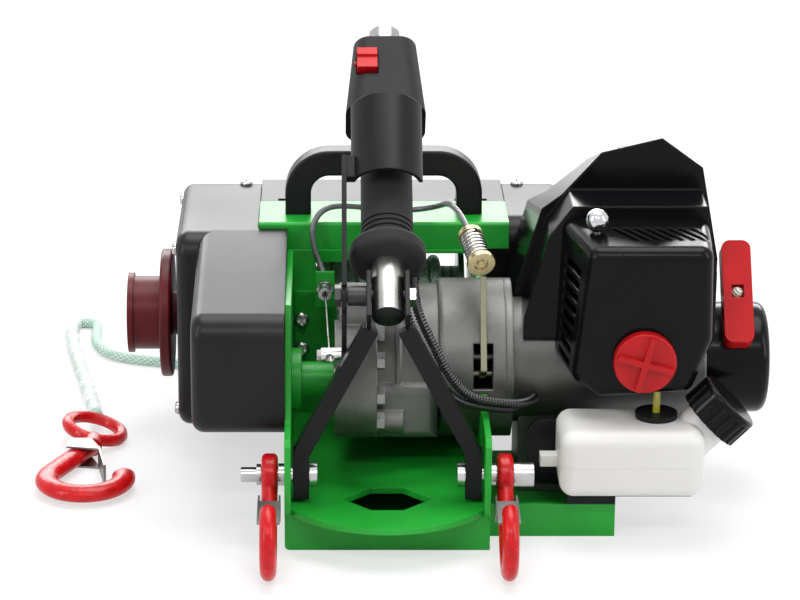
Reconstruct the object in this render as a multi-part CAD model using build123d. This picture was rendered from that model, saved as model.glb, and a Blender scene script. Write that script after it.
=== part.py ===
"""Forestry winch: green steel frame, rope drum at the rear, petrol engine at the right, control arm in front.

Millimetres. +X right, +Y to the rear (the load side), +Z up. The origin is on the floor under the frame's
middle.
"""
import math
import os

from build123d import *

# Running and assembly clearances
RUN_GAP = 0.05
SIDE_GAP = 0.5
CURVE_GAP = 0.4

# Base tray and winch frame
LIP_Y = -170.0
LIP_HEIGHT = 30.0
TRAY_BACK_Y = 190.0
SHEET = 4.0
RAIL_RIGHT_X = 184.0
RAIL_FRONT_Y = -142.0
RAIL_HEIGHT = 28.0
PLATE = 5.0
FRAME_HALF_WIDTH = 82.0
HITCH_REACH = 40.0
CHEEK_FRONT_Y = -178.0
CHEEK_LOW_TOP_Z = 96.0
CHEEK_STEP_Y = -95.0
WALL_Y = 46.0
WALL_THICK = 4.0
WINDOW_LEFT_X = -58.0
WINDOW_TOP_Z = 179.0
WINDOW_LOW_Z = 76.0
HITCH_SLOT_WIDTH = 72.0
HITCH_SLOT_DEPTH = 46.0
HITCH_SLOT_Y = -148.0

# Top beam, carry handle and covers
BEAM_BACK_Y = 114.0
BEAM_TOP_Z = 205.0
BEAM_LIP = 23.0
HANDLE_HALF_SPAN = 84.0
HANDLE_HEIGHT = 56.0
HANDLE_BAR = 22.0
HANDLE_BEND = 38.0
HANDLE_Y = 84.0
COVER_WALL = 3.0
COVER_TOP_Z = 200.0
COVER_BACK_Y = 198.0
COVER_DEPTH = 75.0
COVER_RIM_DEPTH = 19.0
COVER_RIM_FRONT_Y = 25.0
COVER_FRONT_Y = -137.0
COVER_FRONT_LOW_Z = 88.0
COVER_LOW_Z = 26.0
COVER_ROUND = 20.0
END_COVER_DEPTH = 76.0
COVER_FRONT_TOP_Z = 181.0
END_COVER_FRONT_Y = 70.0
GUARD_FRONT_Y = 118.0
GUARD_BACK_Z = 150.0
COVER_SCREW_R = 2.5
BRACKET_SCREW_IN = 12.0
BRACKET_SCREW_Z = (121.0, 94.5)
BRACKET_SCREW_R = 3.0

# Drum, capstan and rope
DRUM_Y = 112.0
DRUM_Z = 103.0
DRUM_SHAFT_R = 12.5
DRUM_FLANGE_R = 60.0
DRUM_FLANGE_T = 5.0
DRUM_SIDE_GAP = 7.0
DRUM_BARREL_R = 28.0
ROPE_D = 10.0
WOUND_CORE_R = 40.5
WIND_PITCH = 10.6
WIND_TURNS = 10
BEARING_R = 21.0
BEARING_T = 9.0
CAPSTAN_FLANGE_R = 56.0
CAPSTAN_FLANGE_T = 10.0
CAPSTAN_R = 32.0
CAPSTAN_RIM_R = 35.0
CAPSTAN_GAP = 7.0
CAPSTAN_LENGTH = 39.0
CAPSTAN_RIM_T = 5.0

# Gear train
ENGINE_Y = -20.0
ENGINE_Z = 110.0
GEAR_MODULE = 2.0
PINION_TEETH = 13
GEAR_TEETH = 39
GEAR_FACE = 16.0
GEAR_ANGLE = 180.0
TOOTH_BACKLASH = 0.35
OUT_SHAFT_R = 10.0
CHAIN_PITCH = 12.7
SPROCKET_SMALL = 10
SPROCKET_LARGE = 30
SPROCKET_T = 5.0
SPROCKET_OUT = 36.0
CHAIN_PLATE_T = 1.5
CHAIN_PLATE_H = 9.0
HUB_HALF = 7.0
GEARBOX_LEFT_X = -42.0
GEARBOX_RIGHT_X = -8.0
GEARBOX_R = 48.0
GEARBOX_LOW_R = 30.0
SUMP_FRONT_Y = -88.0
RIB_X = 16.0
GEARBOX_TOP_R = 32.0
GEARBOX_TOP = (-45.0, 150.0)
GEARBOX_BOSS_R = 11.0
IN_SHAFT_R = 8.0
CUP_LEFT_X = 50.0
CUP_RIGHT_X = 64.0
CUP_R = 40.0
HOUSING_BOLT_R = 4.0

# Release lever and its plunger
RELEASE_X = 79.0
RELEASE_W = 5.0
RELEASE_T = 4.0
RELEASE_PIN = (-64.0, 111.0)
RELEASE_KNEE = (-92.0, 124.0)
RELEASE_TIP = (-58.0, 193.0)
RELEASE_PIN_R = 4.0
LUG_GAP = 8.0
LUG_T = 3.5
PLUNGER_LENGTH = 40.0
PLUNGER_R = 11.5
SPRING_R = 8.6
SPRING_WIRE = 2.4
SPRING_TURNS = 7

# Engine, tank and starter
CLUTCH_R = 66.0
CLUTCH_LEFT_X = 43.0
CLUTCH_RIGHT_X = 98.0
CAST_WALL = 4.0
CRANKCASE_R = 54.0
CRANKCASE_RIGHT_X = 262.0
CYLINDER_X = 196.0
CYLINDER_TOP_Z = 236.0
FIN_COUNT = 7
FIN_HALF = 32.0
PAD_TOP_Z = 168.0
CYLINDER_BORE_R = 20.0
SHROUD_FRONT_Y = -68.0
SHROUD_STEP_Y = -22.0
SHROUD_BACK_Y = 62.0
SHROUD_WALL = 3.0
SHROUD_LOW_Z = 140.0
SHROUD_POST_Z = 288.0
SHROUD_REAR = [(101, 140), (101, 150), (128, 240), (144, 252), (176, 288), (225, 300), (259, 275), (274, 197),
               (274, 140)]
SHROUD_TAIL = [(101, 140), (101, 150), (122, 222), (138, 230), (172, 258), (222, 268), (250, 250), (266, 190),
               (266, 140)]
SHROUD_FRONT = [(112, 140), (112, 160), (132, 232), (150, 256), (258, 256), (268, 200), (268, 140)]
FILTER_FRONT = [(161, 241), (256, 241), (258, 164), (242, 122), (170, 117), (148, 132)]
FILTER_BACK = [(142, 246), (260, 246), (261, 164), (248, 112), (160, 110), (138, 132)]
FILTER_ROUND = 10.0
LOUVRES = 8
LOUVRE_PITCH = 11.0
LOUVRE_WIDTH = 6.0
STEM_R = 3.0
FILTER_FRONT_Y = -136.0
FILTER_BACK_Y = -68.0
KNOB_X = 204.0
KNOB_Z = 149.0
KNOB_R = 25.0
KNOB_T = 9.0
BALL_X = 167.0
BALL_Y = -98.0
BALL_Z = 253.8
BALL_R = 9.5
STARTER_RIGHT_X = 316.0
STARTER_R = 46.0
STARTER_PULLEY_R = 36.0
PULL_X = 288.0
PULL_RUN = 36.0
CORD_STUB = 60.0
PULL_RISE = 36.87
GRIP_BASE = 12.0
CORD_R = 2.5
GRIP_LENGTH = 88.0
GRIP_WIDTH = 24.0
GRIP_DEPTH = 17.0
TANK_LEFT_X = 137.0
TANK_RIGHT_X = 252.0
TANK_FRONT_Y = -168.0
TANK_BACK_Y = -100.0
TANK_LOW_Z = 42.0
TANK_TOP_Z = 98.0
TANK_WALL = 2.5
TANK_ROUND = 12.0
CAP_R = 27.0
CAP_T = 25.0
CAP_TILT = 45.0
NECK_R = 19.0
CAP_RIBS = 20
NECK_PLACE = (258.0, -128.0, 95.0)
GROMMET_X = 216.0
GROMMET_Y = -127.0
GROMMET_R = 11.0
LINE_R = 3.0

# Control arm
PIVOT_Y = -150.0
PIVOT_Z = 57.0
PIVOT_R = 6.0
ARM_SLOPE = 35.0
ARM_Y = -150.0
ARM_Z = 191.0
TUBE_R = 13.0
TUBE_WALL = 2.0
TUBE_LENGTH = 292.0
FORK_PLATE = 3.5
FORK_BAR = 13.0
FORK_BOLT_S = 20.0
FLANGE_S = 50.0
FLANGE_R = 31.0
GRIP_R = 21.0
GRIP_END_S = 196.0
HOUSING_END_S = 274.0
LEVER_X = -34.5
LEVER_T = 4.0
LEVER_OPEN = 7.0
LEVER_PLATE_S = (120.0, 192.0)
LEVER_PLATE_R = 30.0
CLAMP = (-126.0, 150.0)
CROSS_BOLT_R = 5.0
FORK_TOP = (14.0, 181.0)
FORK_IN = 13.0
FORK_KNEE_Z = 76.0
SWITCH_X = -15.0
SWITCH_S = 243.0
SWITCH_PIN_Y = -20.0
TRIGGER_Y = 20.0
TRIGGER_S = 206.0

# Cables and conduits
BRACKET_RIGHT_X = -40.0
BRACKET_IN = 6.0
BRACKET_Z = (72.0, 146.0)
BRACKET_T = 3.0
ADJUST_X = -50.0
ADJUST_Z = 162.0
ADJUST_R = 4.0
TAB_Y = 5.0
CABLE_R = 2.5
CABLE_POINTS = [(-50, 14, 162), (-50, 26, 162), (-53, 37, 169), (-60, 41, 186), (-61, 45, 206),
                (-50, 54, 218), (-28, 61, 217), (6, 61, 212), (40, 56, 216)]
WIRE_R = 0.8
WIRE_START = (-50.0, -2.0, 161.8)
WIRE_END = (-46.0, -128.0, 149.8)
CONDUIT_R = 4.0
CONDUIT_POINTS = [(12, -96.7, 201.5), (12, -117.2, 187.1), (26, -128, 158), (40, -130, 130), (56, -127, 110),
                  (80, -119, 102.5), (106, -103, 95), (113, -73.8, 90)]

# Hooks
HOOK_T = 13.0
HOOK_EYE_R = 17.0
HOOK_REACH = 78.0
HOOK_BOWL_R = 32.0
HOOK_THROAT_R = 17.0
HOOK_TIP_ANGLE = 78.0
HOOK_EYE_ROUND = 4.0
HOOK_OUT = 12.0
ROPE_HOOK_X = -251.0
ROPE_HOOK_Y = -44.0
ROPE_HOOK_R = 42.0
ROPE_HOOK_T = 14.0
ROPE_NECK_U = 76.0
EYE_RING_R = 24.0
EYE_RING_WIRE = 5.5
EYE_TILT = 15.0
EYE_LIFT = 2.5
LATCH_SIDE = 2.5
HEAD_IN = 21.0
PIN_OUT = 35.0

# Derived places
TRAY_HALF_WIDTH = FRAME_HALF_WIDTH
PAST_X = STARTER_RIGHT_X + STARTER_R
BEAM_HALF_LENGTH = FRAME_HALF_WIDTH + 24
COVER_BODY_LEFT_X = -FRAME_HALF_WIDTH - COVER_DEPTH
COVER_RIM_LEFT_X = COVER_BODY_LEFT_X - COVER_RIM_DEPTH
END_COVER_RIGHT_X = FRAME_HALF_WIDTH + END_COVER_DEPTH
CAPSTAN_RIGHT_X = COVER_RIM_LEFT_X - CAPSTAN_GAP
DRUM_HALF_LENGTH = FRAME_HALF_WIDTH - PLATE - DRUM_SIDE_GAP
SPROCKET_X = -FRAME_HALF_WIDTH - SPROCKET_OUT
BRACKET_X = (BRACKET_IN - FRAME_HALF_WIDTH, BRACKET_RIGHT_X)
BRACKET_SCREW_X = BRACKET_SCREW_IN - FRAME_HALF_WIDTH
FORK_KNEE = (FRAME_HALF_WIDTH - FORK_IN, FORK_KNEE_Z)
HOOK_X = FRAME_HALF_WIDTH + HOOK_OUT
HEAD_X = FRAME_HALF_WIDTH - HEAD_IN
PIN_END_X = FRAME_HALF_WIDTH + PIN_OUT
OUT_Y = ENGINE_Y + GEAR_MODULE * (PINION_TEETH + GEAR_TEETH) / 2 * math.cos(math.radians(GEAR_ANGLE))
OUT_Z = ENGINE_Z + GEAR_MODULE * (PINION_TEETH + GEAR_TEETH) / 2 * math.sin(math.radians(GEAR_ANGLE))
FLOOR_Z = LIP_HEIGHT + PLATE
FRAME_TOP_Z = BEAM_TOP_Z - BEAM_LIP
CHEEK_IN_X = FRAME_HALF_WIDTH - PLATE
ARM = Plane((0, ARM_Y, ARM_Z), x_dir=(1, 0, 0),
            z_dir=(0, math.cos(math.radians(ARM_SLOPE)), math.sin(math.radians(ARM_SLOPE))))
WIND_R = WOUND_CORE_R + ROPE_D / 2 + CURVE_GAP
LEAD_R = WIND_R + ROPE_D + CURVE_GAP
CROSS_BOLT = (ARM_Y + FORK_BOLT_S * math.cos(math.radians(ARM_SLOPE)),
              ARM_Z + FORK_BOLT_S * math.sin(math.radians(ARM_SLOPE)))
PULL_WAY = (0, -math.cos(math.radians(PULL_RISE)), math.sin(math.radians(PULL_RISE)))
PULL_R = STARTER_PULLEY_R + 0.5
PULL = Plane((PULL_X, ENGINE_Y + PULL_R * PULL_WAY[2] + PULL_RUN * PULL_WAY[1],
              ENGINE_Z - PULL_R * PULL_WAY[1] + PULL_RUN * PULL_WAY[2]), x_dir=(1, 0, 0), z_dir=PULL_WAY)
NECK = Plane(NECK_PLACE, x_dir=(0, 1, 0), z_dir=(math.sin(math.radians(CAP_TILT)), 0,
                                                 math.cos(math.radians(CAP_TILT))))
PLUNGER = Plane((77, -66, 206), z_dir=(-0.2, 0.92, 0.34))
ROPE_PLANE = Plane((ROPE_HOOK_X, ROPE_HOOK_Y, ROPE_HOOK_T / 2 + LATCH_SIDE), x_dir=(0, 1, 0),
                   z_dir=(0, 0, -1))


def around_drum(angle, x, grow):
    """Point at the lead's radius around the drum, angle from +Y towards +Z."""
    a = math.radians(angle)
    return (x, DRUM_Y + LEAD_R * grow * math.cos(a), DRUM_Z + LEAD_R * grow * math.sin(a))


ROPE_END_Y = ROPE_HOOK_Y + ROPE_NECK_U + 9 + 2 * EYE_RING_R + EYE_RING_WIRE + 0.3
FLOOR_ROPE = [(-140, 232), (-196, 250), (-250, 266), (-268, 302), (-269, 336), (-270, 361), (-293, 361),
              (-293, 331), (-287, 286), (-276, 232), (-266, 180), (-258, 138), (-253, 112)]
TURN_OUT = 1 / math.cos(math.radians(20))
ROPE_POINTS = [around_drum(100, -40, 1), around_drum(80, -40, TURN_OUT), around_drum(40, -42, TURN_OUT),
               around_drum(0, -46, TURN_OUT), (-60, 190, 62), (-95, 215, 20)]
ROPE_POINTS += [(x, y, ROPE_D / 2 + 0.2) for x, y in FLOOR_ROPE] + [(ROPE_HOOK_X, ROPE_END_Y, 12)]


def block(x0, x1, y0, y1, z0, z1):
    """Box between two corners."""
    return Pos((x0 + x1) / 2, (y0 + y1) / 2, (z0 + z1) / 2) * Box(x1 - x0, y1 - y0, z1 - z0)


def rod_x(x0, x1, y, z, r):
    """Cylinder along X."""
    return Pos((x0 + x1) / 2, y, z) * Rot(0, 90, 0) * Cylinder(r, x1 - x0)


def rod_y(x, y0, y1, z, r):
    """Cylinder along Y."""
    return Pos(x, (y0 + y1) / 2, z) * Rot(90, 0, 0) * Cylinder(r, y1 - y0)


def rod_z(x, y, z0, z1, r):
    """Cylinder along Z."""
    return Pos(x, y, (z0 + z1) / 2) * Cylinder(r, z1 - z0)


def rounded(points, corner):
    """Closed outline with every corner rounded."""
    face = make_face(Polyline(*points, close=True))
    if corner > 0:
        face = fillet(face.vertices(), corner)
    return face


def plate_x(points, x0, x1, corner=0.0):
    """Outline in (Y, Z), extruded from x0 to x1."""
    plane = Plane((x0, 0, 0), x_dir=(0, 1, 0), z_dir=(1, 0, 0))
    return extrude(plane * rounded(points, corner), x1 - x0)


def plate_y(points, y0, y1, corner=0.0):
    """Outline in (X, Z), extruded from y0 to y1."""
    plane = Plane((0, y1, 0), x_dir=(1, 0, 0), z_dir=(0, -1, 0))
    return extrude(plane * rounded(points, corner), y1 - y0)


def bar_x(start, end, thick, x0, x1):
    """Straight bar in a (Y, Z) plane from start to end, square ended."""
    dy, dz = end[0] - start[0], end[1] - start[1]
    angle = math.degrees(math.atan2(dz, dy))
    middle = Pos((x0 + x1) / 2, (start[0] + end[0]) / 2, (start[1] + end[1]) / 2)
    return middle * Rot(angle, 0, 0) * Box(x1 - x0, math.hypot(dy, dz), thick)


def hex_bolt(radius, head_r, head_t, length):
    """Hexagon bolt along -Z, with its head standing on Z = 0."""
    head = extrude(RegularPolygon(head_r, 6), head_t)
    return head + Pos(0, 0, -length / 2) * Cylinder(radius, length)


def pan_screw(radius, head_r, length):
    """Cross-slotted pan-head screw along -Z, head on Z = 0."""
    head_t = head_r * 0.62
    head = fillet((Pos(0, 0, head_t / 2) * Cylinder(head_r, head_t)).edges().sort_by(Axis.Z)[-1],
                  head_t * 0.7)
    slot = Pos(0, 0, head_t) * (Box(head_r * 1.1, head_r * 0.28, head_t)
                                + Box(head_r * 0.28, head_r * 1.1, head_t))
    return head - slot + Pos(0, 0, -length / 2) * Cylinder(radius, length)


def save(shape, name):
    """Write one node."""
    export_step(shape, f"parts/{name}.step")


def base_tray():
    """Shallow tray with a front lip and a rail to the right that carries the engine."""
    floor = block(-TRAY_HALF_WIDTH, TRAY_HALF_WIDTH, LIP_Y, TRAY_BACK_Y, 0, SHEET)
    lip = block(-TRAY_HALF_WIDTH, TRAY_HALF_WIDTH, LIP_Y, LIP_Y + SHEET, 0, LIP_HEIGHT)
    back = block(-TRAY_HALF_WIDTH, TRAY_HALF_WIDTH, TRAY_BACK_Y - SHEET, TRAY_BACK_Y, 0, LIP_HEIGHT)
    tray = floor + lip + back
    for side in (-1, 1):
        x_out = side * TRAY_HALF_WIDTH
        x_in = side * (TRAY_HALF_WIDTH - SHEET)
        tray += block(min(x_out, x_in), max(x_out, x_in), LIP_Y, TRAY_BACK_Y, 0, LIP_HEIGHT)
    shelf = block(TRAY_HALF_WIDTH - 1, RAIL_RIGHT_X, RAIL_FRONT_Y, ENGINE_Y + CRANKCASE_R, 0, SHEET)
    rail = block(TRAY_HALF_WIDTH - 1, RAIL_RIGHT_X, RAIL_FRONT_Y, RAIL_FRONT_Y + SHEET, 0, RAIL_HEIGHT)
    tray += shelf + rail
    corners = [e for e in tray.edges().filter_by(Axis.Y)
               if abs(e.center().Z) < 0.1 and abs(abs(e.center().X) - TRAY_HALF_WIDTH) < 0.1]
    left = [e for e in corners if e.center().X < 0]
    return fillet(left, SHEET)


def hitch_outline():
    """Floor of the winch frame with its curved hitch edge and six-sided hitch slot."""
    ear_x = FRAME_HALF_WIDTH - PLATE
    nose = LIP_Y - HITCH_REACH
    edge = Line((-ear_x, LIP_Y), (-FRAME_HALF_WIDTH, LIP_Y))
    edge += Polyline((-FRAME_HALF_WIDTH, LIP_Y), (-FRAME_HALF_WIDTH, TRAY_BACK_Y),
                     (FRAME_HALF_WIDTH, TRAY_BACK_Y), (FRAME_HALF_WIDTH, LIP_Y), (ear_x, LIP_Y))
    edge += ThreePointArc((ear_x, LIP_Y), (0, nose), (-ear_x, LIP_Y))
    half = HITCH_SLOT_WIDTH / 2
    near = HITCH_SLOT_Y - HITCH_SLOT_DEPTH / 2
    far = HITCH_SLOT_Y + HITCH_SLOT_DEPTH / 2
    flat = half - HITCH_SLOT_DEPTH / 2
    slot = Polyline((-half, HITCH_SLOT_Y), (-flat, near), (flat, near), (half, HITCH_SLOT_Y),
                    (flat, far), (-flat, far), close=True)
    return make_face(edge) - make_face(slot)


def winch_frame():
    """One bent plate: hitch floor with a cheek standing up on each side."""
    frame = extrude(Plane((0, 0, LIP_HEIGHT)) * hitch_outline(), PLATE)
    low = [(CHEEK_FRONT_Y + PLATE, LIP_HEIGHT), (CHEEK_FRONT_Y, LIP_HEIGHT + PLATE),
           (CHEEK_FRONT_Y, CHEEK_LOW_TOP_Z - PLATE), (CHEEK_FRONT_Y + PLATE, CHEEK_LOW_TOP_Z)]
    back = [(TRAY_BACK_Y, FRAME_TOP_Z), (TRAY_BACK_Y, LIP_HEIGHT)]
    left = low + [(COVER_FRONT_Y, CHEEK_LOW_TOP_Z), (COVER_FRONT_Y + 8 * PLATE, FRAME_TOP_Z)] + back
    right = low + [(CHEEK_STEP_Y, CHEEK_LOW_TOP_Z), (WALL_Y - SHEET, FRAME_TOP_Z)] + back
    frame += plate_x(left, -FRAME_HALF_WIDTH, -CHEEK_IN_X)
    frame += plate_x(right, CHEEK_IN_X, FRAME_HALF_WIDTH)
    seat_x = BEARING_T - FRAME_HALF_WIDTH
    frame += rod_x(-CHEEK_IN_X - 1, seat_x + CAST_WALL, OUT_Y, OUT_Z, BEARING_R + CAST_WALL)
    frame += rod_x(seat_x, GEARBOX_LEFT_X - SIDE_GAP, OUT_Y, OUT_Z, OUT_SHAFT_R + CAST_WALL)
    reach = FRAME_HALF_WIDTH + 1
    frame -= rod_x(-reach, reach, PIVOT_Y, PIVOT_Z, PIVOT_R + RUN_GAP)
    frame -= rod_x(-reach, reach, DRUM_Y, DRUM_Z, BEARING_R)
    frame -= rod_x(-reach, seat_x, OUT_Y, OUT_Z, BEARING_R)
    frame -= rod_x(-reach, GEARBOX_LEFT_X, OUT_Y, OUT_Z, OUT_SHAFT_R + SIDE_GAP)
    frame -= rod_x(CHEEK_IN_X - 1, reach, ENGINE_Y, ENGINE_Z, CLUTCH_R + SIDE_GAP)
    return frame


def front_wall():
    """Upright wall between the cheeks, with a window behind the gearbox and the clutch housing."""
    wall = block(-CHEEK_IN_X, CHEEK_IN_X, WALL_Y, WALL_Y + WALL_THICK, FLOOR_Z, FRAME_TOP_Z)
    right = CHEEK_IN_X + 1
    window = [(right, WINDOW_TOP_Z), (WINDOW_LEFT_X + 32, WINDOW_TOP_Z),
              (WINDOW_LEFT_X + 26, WINDOW_TOP_Z - 8),
              (WINDOW_LEFT_X, WINDOW_TOP_Z - 8), (WINDOW_LEFT_X + 12, WINDOW_LOW_Z), (right, WINDOW_LOW_Z)]
    wall -= plate_y(window, WALL_Y - 1, WALL_Y + WALL_THICK + 1)
    for z in BRACKET_SCREW_Z:
        wall -= rod_y(BRACKET_SCREW_X, WALL_Y - 1, WALL_Y + WALL_THICK + 1, z, BRACKET_SCREW_R + RUN_GAP)
    return wall


def top_beam():
    """Channel across the cheeks that carries the handle."""
    front = WALL_Y + WALL_THICK
    beam = block(-BEAM_HALF_LENGTH, BEAM_HALF_LENGTH, front, BEAM_BACK_Y, BEAM_TOP_Z - SHEET, BEAM_TOP_Z)
    for y in (front, BEAM_BACK_Y - SHEET):
        beam += block(-BEAM_HALF_LENGTH, BEAM_HALF_LENGTH, y, y + SHEET, FRAME_TOP_Z, BEAM_TOP_Z)
    long_edges = beam.edges().filter_by(Axis.X).group_by(Axis.Z)[-1]
    return fillet(long_edges, SHEET * 0.7)


def carry_handle():
    """Bent square bar standing on the beam."""
    low, high = BEAM_TOP_Z, BEAM_TOP_Z + HANDLE_HEIGHT
    outer = make_face(Polyline((-HANDLE_HALF_SPAN, low), (HANDLE_HALF_SPAN, low),
                               (HANDLE_HALF_SPAN, high), (-HANDLE_HALF_SPAN, high), close=True))
    outer = fillet(outer.vertices().group_by(Axis.Y)[-1], HANDLE_BEND)
    in_x, in_z = HANDLE_HALF_SPAN - HANDLE_BAR, high - HANDLE_BAR
    inner = make_face(Polyline((-in_x, low), (in_x, low), (in_x, in_z), (-in_x, in_z), close=True))
    inner = fillet(inner.vertices().group_by(Axis.Y)[-1], HANDLE_BEND - HANDLE_BAR)
    plane = Plane((0, HANDLE_Y + HANDLE_BAR / 2, 0), x_dir=(1, 0, 0), z_dir=(0, -1, 0))
    bar = extrude(plane * (outer - inner), HANDLE_BAR)
    rims = [e for e in bar.edges() if abs(abs(e.center().Y - HANDLE_Y) - HANDLE_BAR / 2) < 0.1
            and e.center().Z > low + 1]
    return fillet(rims, 2.5)


def cover_body_outline(inset):
    """Side view of the drive cover: high at the drum, shallower towards the front."""
    return [(COVER_BACK_Y - inset, COVER_TOP_Z - inset), (WALL_Y, COVER_TOP_Z - inset),
            (COVER_FRONT_Y + inset, COVER_FRONT_TOP_Z - inset),
            (COVER_FRONT_Y + inset, COVER_FRONT_LOW_Z + inset), (COVER_RIM_FRONT_Y, COVER_LOW_Z + inset),
            (COVER_BACK_Y - inset, COVER_LOW_Z + inset)]


def box_outline(front_y, inset):
    """Side view of a cover around the drum's end."""
    return [(COVER_BACK_Y - inset, COVER_TOP_Z - inset), (front_y + inset, COVER_TOP_Z - inset),
            (front_y + inset, COVER_LOW_Z + inset), (COVER_BACK_Y - inset, COVER_LOW_Z + inset)]


def beam_notch(side):
    """Room at a cover's inner top corner for the beam and the drum guard."""
    x_near = side * (FRAME_HALF_WIDTH - 1)
    x_far = side * (BEAM_HALF_LENGTH + SIDE_GAP)
    return block(min(x_near, x_far), max(x_near, x_far), WALL_Y + WALL_THICK - SIDE_GAP, COVER_BACK_Y + 1,
                 FRAME_TOP_Z - SIDE_GAP, COVER_TOP_Z + 1)


def cover_screw_places():
    """Face point and outward direction of each cover screw."""
    top = [((side * (BEAM_HALF_LENGTH + 14), COVER_BACK_Y - 18, COVER_TOP_Z), (0, 0, 1)) for side in (-1, 1)]
    near, far = COVER_RIM_FRONT_Y + 15, COVER_BACK_Y - 15
    low, high = COVER_LOW_Z + 15, COVER_TOP_Z - 15
    left = [((COVER_RIM_LEFT_X, y, z), (-1, 0, 0)) for y in (near, far) for z in (low, high)]
    front = END_COVER_FRONT_Y + 15
    right = [((END_COVER_RIGHT_X, y, z), (1, 0, 0)) for y in (front, far) for z in (low, high)]
    return top + left + right


def cover_screw_holes():
    """Drilled holes for the cover screws."""
    holes = [Plane(point, z_dir=way) * Cylinder(COVER_SCREW_R + RUN_GAP, 4 * COVER_WALL)
             for point, way in cover_screw_places()]
    return holes


def drive_cover():
    """Left shell over the chain drive, with a thinner rim around the drum's end."""
    inner_x = -FRAME_HALF_WIDTH
    edge_r = COVER_ROUND / 2
    shell = plate_x(cover_body_outline(0), COVER_BODY_LEFT_X, inner_x, COVER_ROUND)
    shell = fillet(shell.faces().sort_by(Axis.X)[0].edges(), edge_r)
    rim = plate_x(box_outline(COVER_RIM_FRONT_Y, 0), COVER_RIM_LEFT_X, COVER_BODY_LEFT_X + edge_r,
                  COVER_ROUND)
    shell += fillet(rim.faces().sort_by(Axis.X)[0].edges(), edge_r)
    round_in = COVER_ROUND - COVER_WALL
    shell -= plate_x(cover_body_outline(COVER_WALL), COVER_BODY_LEFT_X + COVER_WALL, inner_x + 1, round_in)
    shell -= plate_x(box_outline(COVER_RIM_FRONT_Y, COVER_WALL), COVER_RIM_LEFT_X + COVER_WALL,
                     COVER_BODY_LEFT_X + 2 * COVER_WALL, round_in)
    shell -= beam_notch(-1)
    shell -= rod_x(COVER_RIM_LEFT_X - 1, COVER_BODY_LEFT_X, DRUM_Y, DRUM_Z, DRUM_SHAFT_R + COVER_WALL)
    return shell - cover_screw_holes()


def drum_end_cover():
    """Right shell over the other end of the drum shaft."""
    inner_x = FRAME_HALF_WIDTH
    shell = plate_x(box_outline(END_COVER_FRONT_Y, 0), inner_x, END_COVER_RIGHT_X, COVER_ROUND)
    shell = fillet(shell.faces().sort_by(Axis.X)[-1].edges(), COVER_ROUND / 2)
    shell -= plate_x(box_outline(END_COVER_FRONT_Y, COVER_WALL), inner_x - 1, END_COVER_RIGHT_X - COVER_WALL,
                     COVER_ROUND - COVER_WALL)
    shell -= beam_notch(1)
    return shell - cover_screw_holes()


def cover_screws():
    """Dark screws that hold the covers."""
    screw = pan_screw(COVER_SCREW_R, COVER_SCREW_R * 2.2, 2 * COVER_WALL)
    return Compound(children=[Plane(point, z_dir=way) * screw for point, way in cover_screw_places()])


def drum_guard():
    """Cross cover over the rope drum, open below at the rear for the rope."""
    guard = block(-BEAM_HALF_LENGTH, BEAM_HALF_LENGTH, GUARD_FRONT_Y, TRAY_BACK_Y + SHEET,
                  COVER_TOP_Z - SHEET, COVER_TOP_Z)
    guard += block(-BEAM_HALF_LENGTH, BEAM_HALF_LENGTH, GUARD_FRONT_Y, GUARD_FRONT_Y + SHEET,
                   FRAME_TOP_Z, COVER_TOP_Z)
    guard += block(-CHEEK_IN_X, CHEEK_IN_X, TRAY_BACK_Y, TRAY_BACK_Y + SHEET, GUARD_BACK_Z, COVER_TOP_Z)
    for x in (-CHEEK_IN_X, CHEEK_IN_X):
        guard -= block(x - 14, x + 14, GUARD_FRONT_Y + 12, GUARD_FRONT_Y + 18, FRAME_TOP_Z, COVER_TOP_Z + 1)
    return guard


def tooth_wheel(x0, x1, y, z, teeth, root_r, tip_r, root_half, tip_half, phase):
    """Wheel with straight-flanked teeth, the first one centred on phase (degrees from +Y)."""
    points = []
    for i in range(teeth):
        middle = math.radians(phase) + 2 * math.pi * i / teeth
        for radius, half in ((root_r, -root_half), (tip_r, -tip_half), (tip_r, tip_half),
                             (root_r, root_half)):
            angle = middle + half / radius
            points.append((y + radius * math.cos(angle), z + radius * math.sin(angle)))
    return plate_x(points, x0, x1)


def spur_gear(x0, x1, y, z, teeth, phase):
    """Spur gear of the train's module, with backlash."""
    pitch_r = GEAR_MODULE * teeth / 2
    half = math.pi * GEAR_MODULE / 4 - TOOTH_BACKLASH
    return tooth_wheel(x0, x1, y, z, teeth, pitch_r - 1.35 * GEAR_MODULE, pitch_r + 0.9 * GEAR_MODULE,
                       half * 1.35, half * 0.5, phase)


def sprocket_pitch_r(teeth):
    """Pitch radius of a chain sprocket."""
    return CHAIN_PITCH / 2 / math.sin(math.pi / teeth)


def sprocket(y, z, teeth):
    """Chain sprocket in the plane of the chain."""
    pitch_r = sprocket_pitch_r(teeth)
    half = CHAIN_PITCH / 4
    return tooth_wheel(SPROCKET_X - SPROCKET_T / 2, SPROCKET_X + SPROCKET_T / 2, y, z, teeth,
                       pitch_r - CHAIN_PITCH / 4, pitch_r + CHAIN_PITCH / 4, half, half * 0.4, 0)


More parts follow.
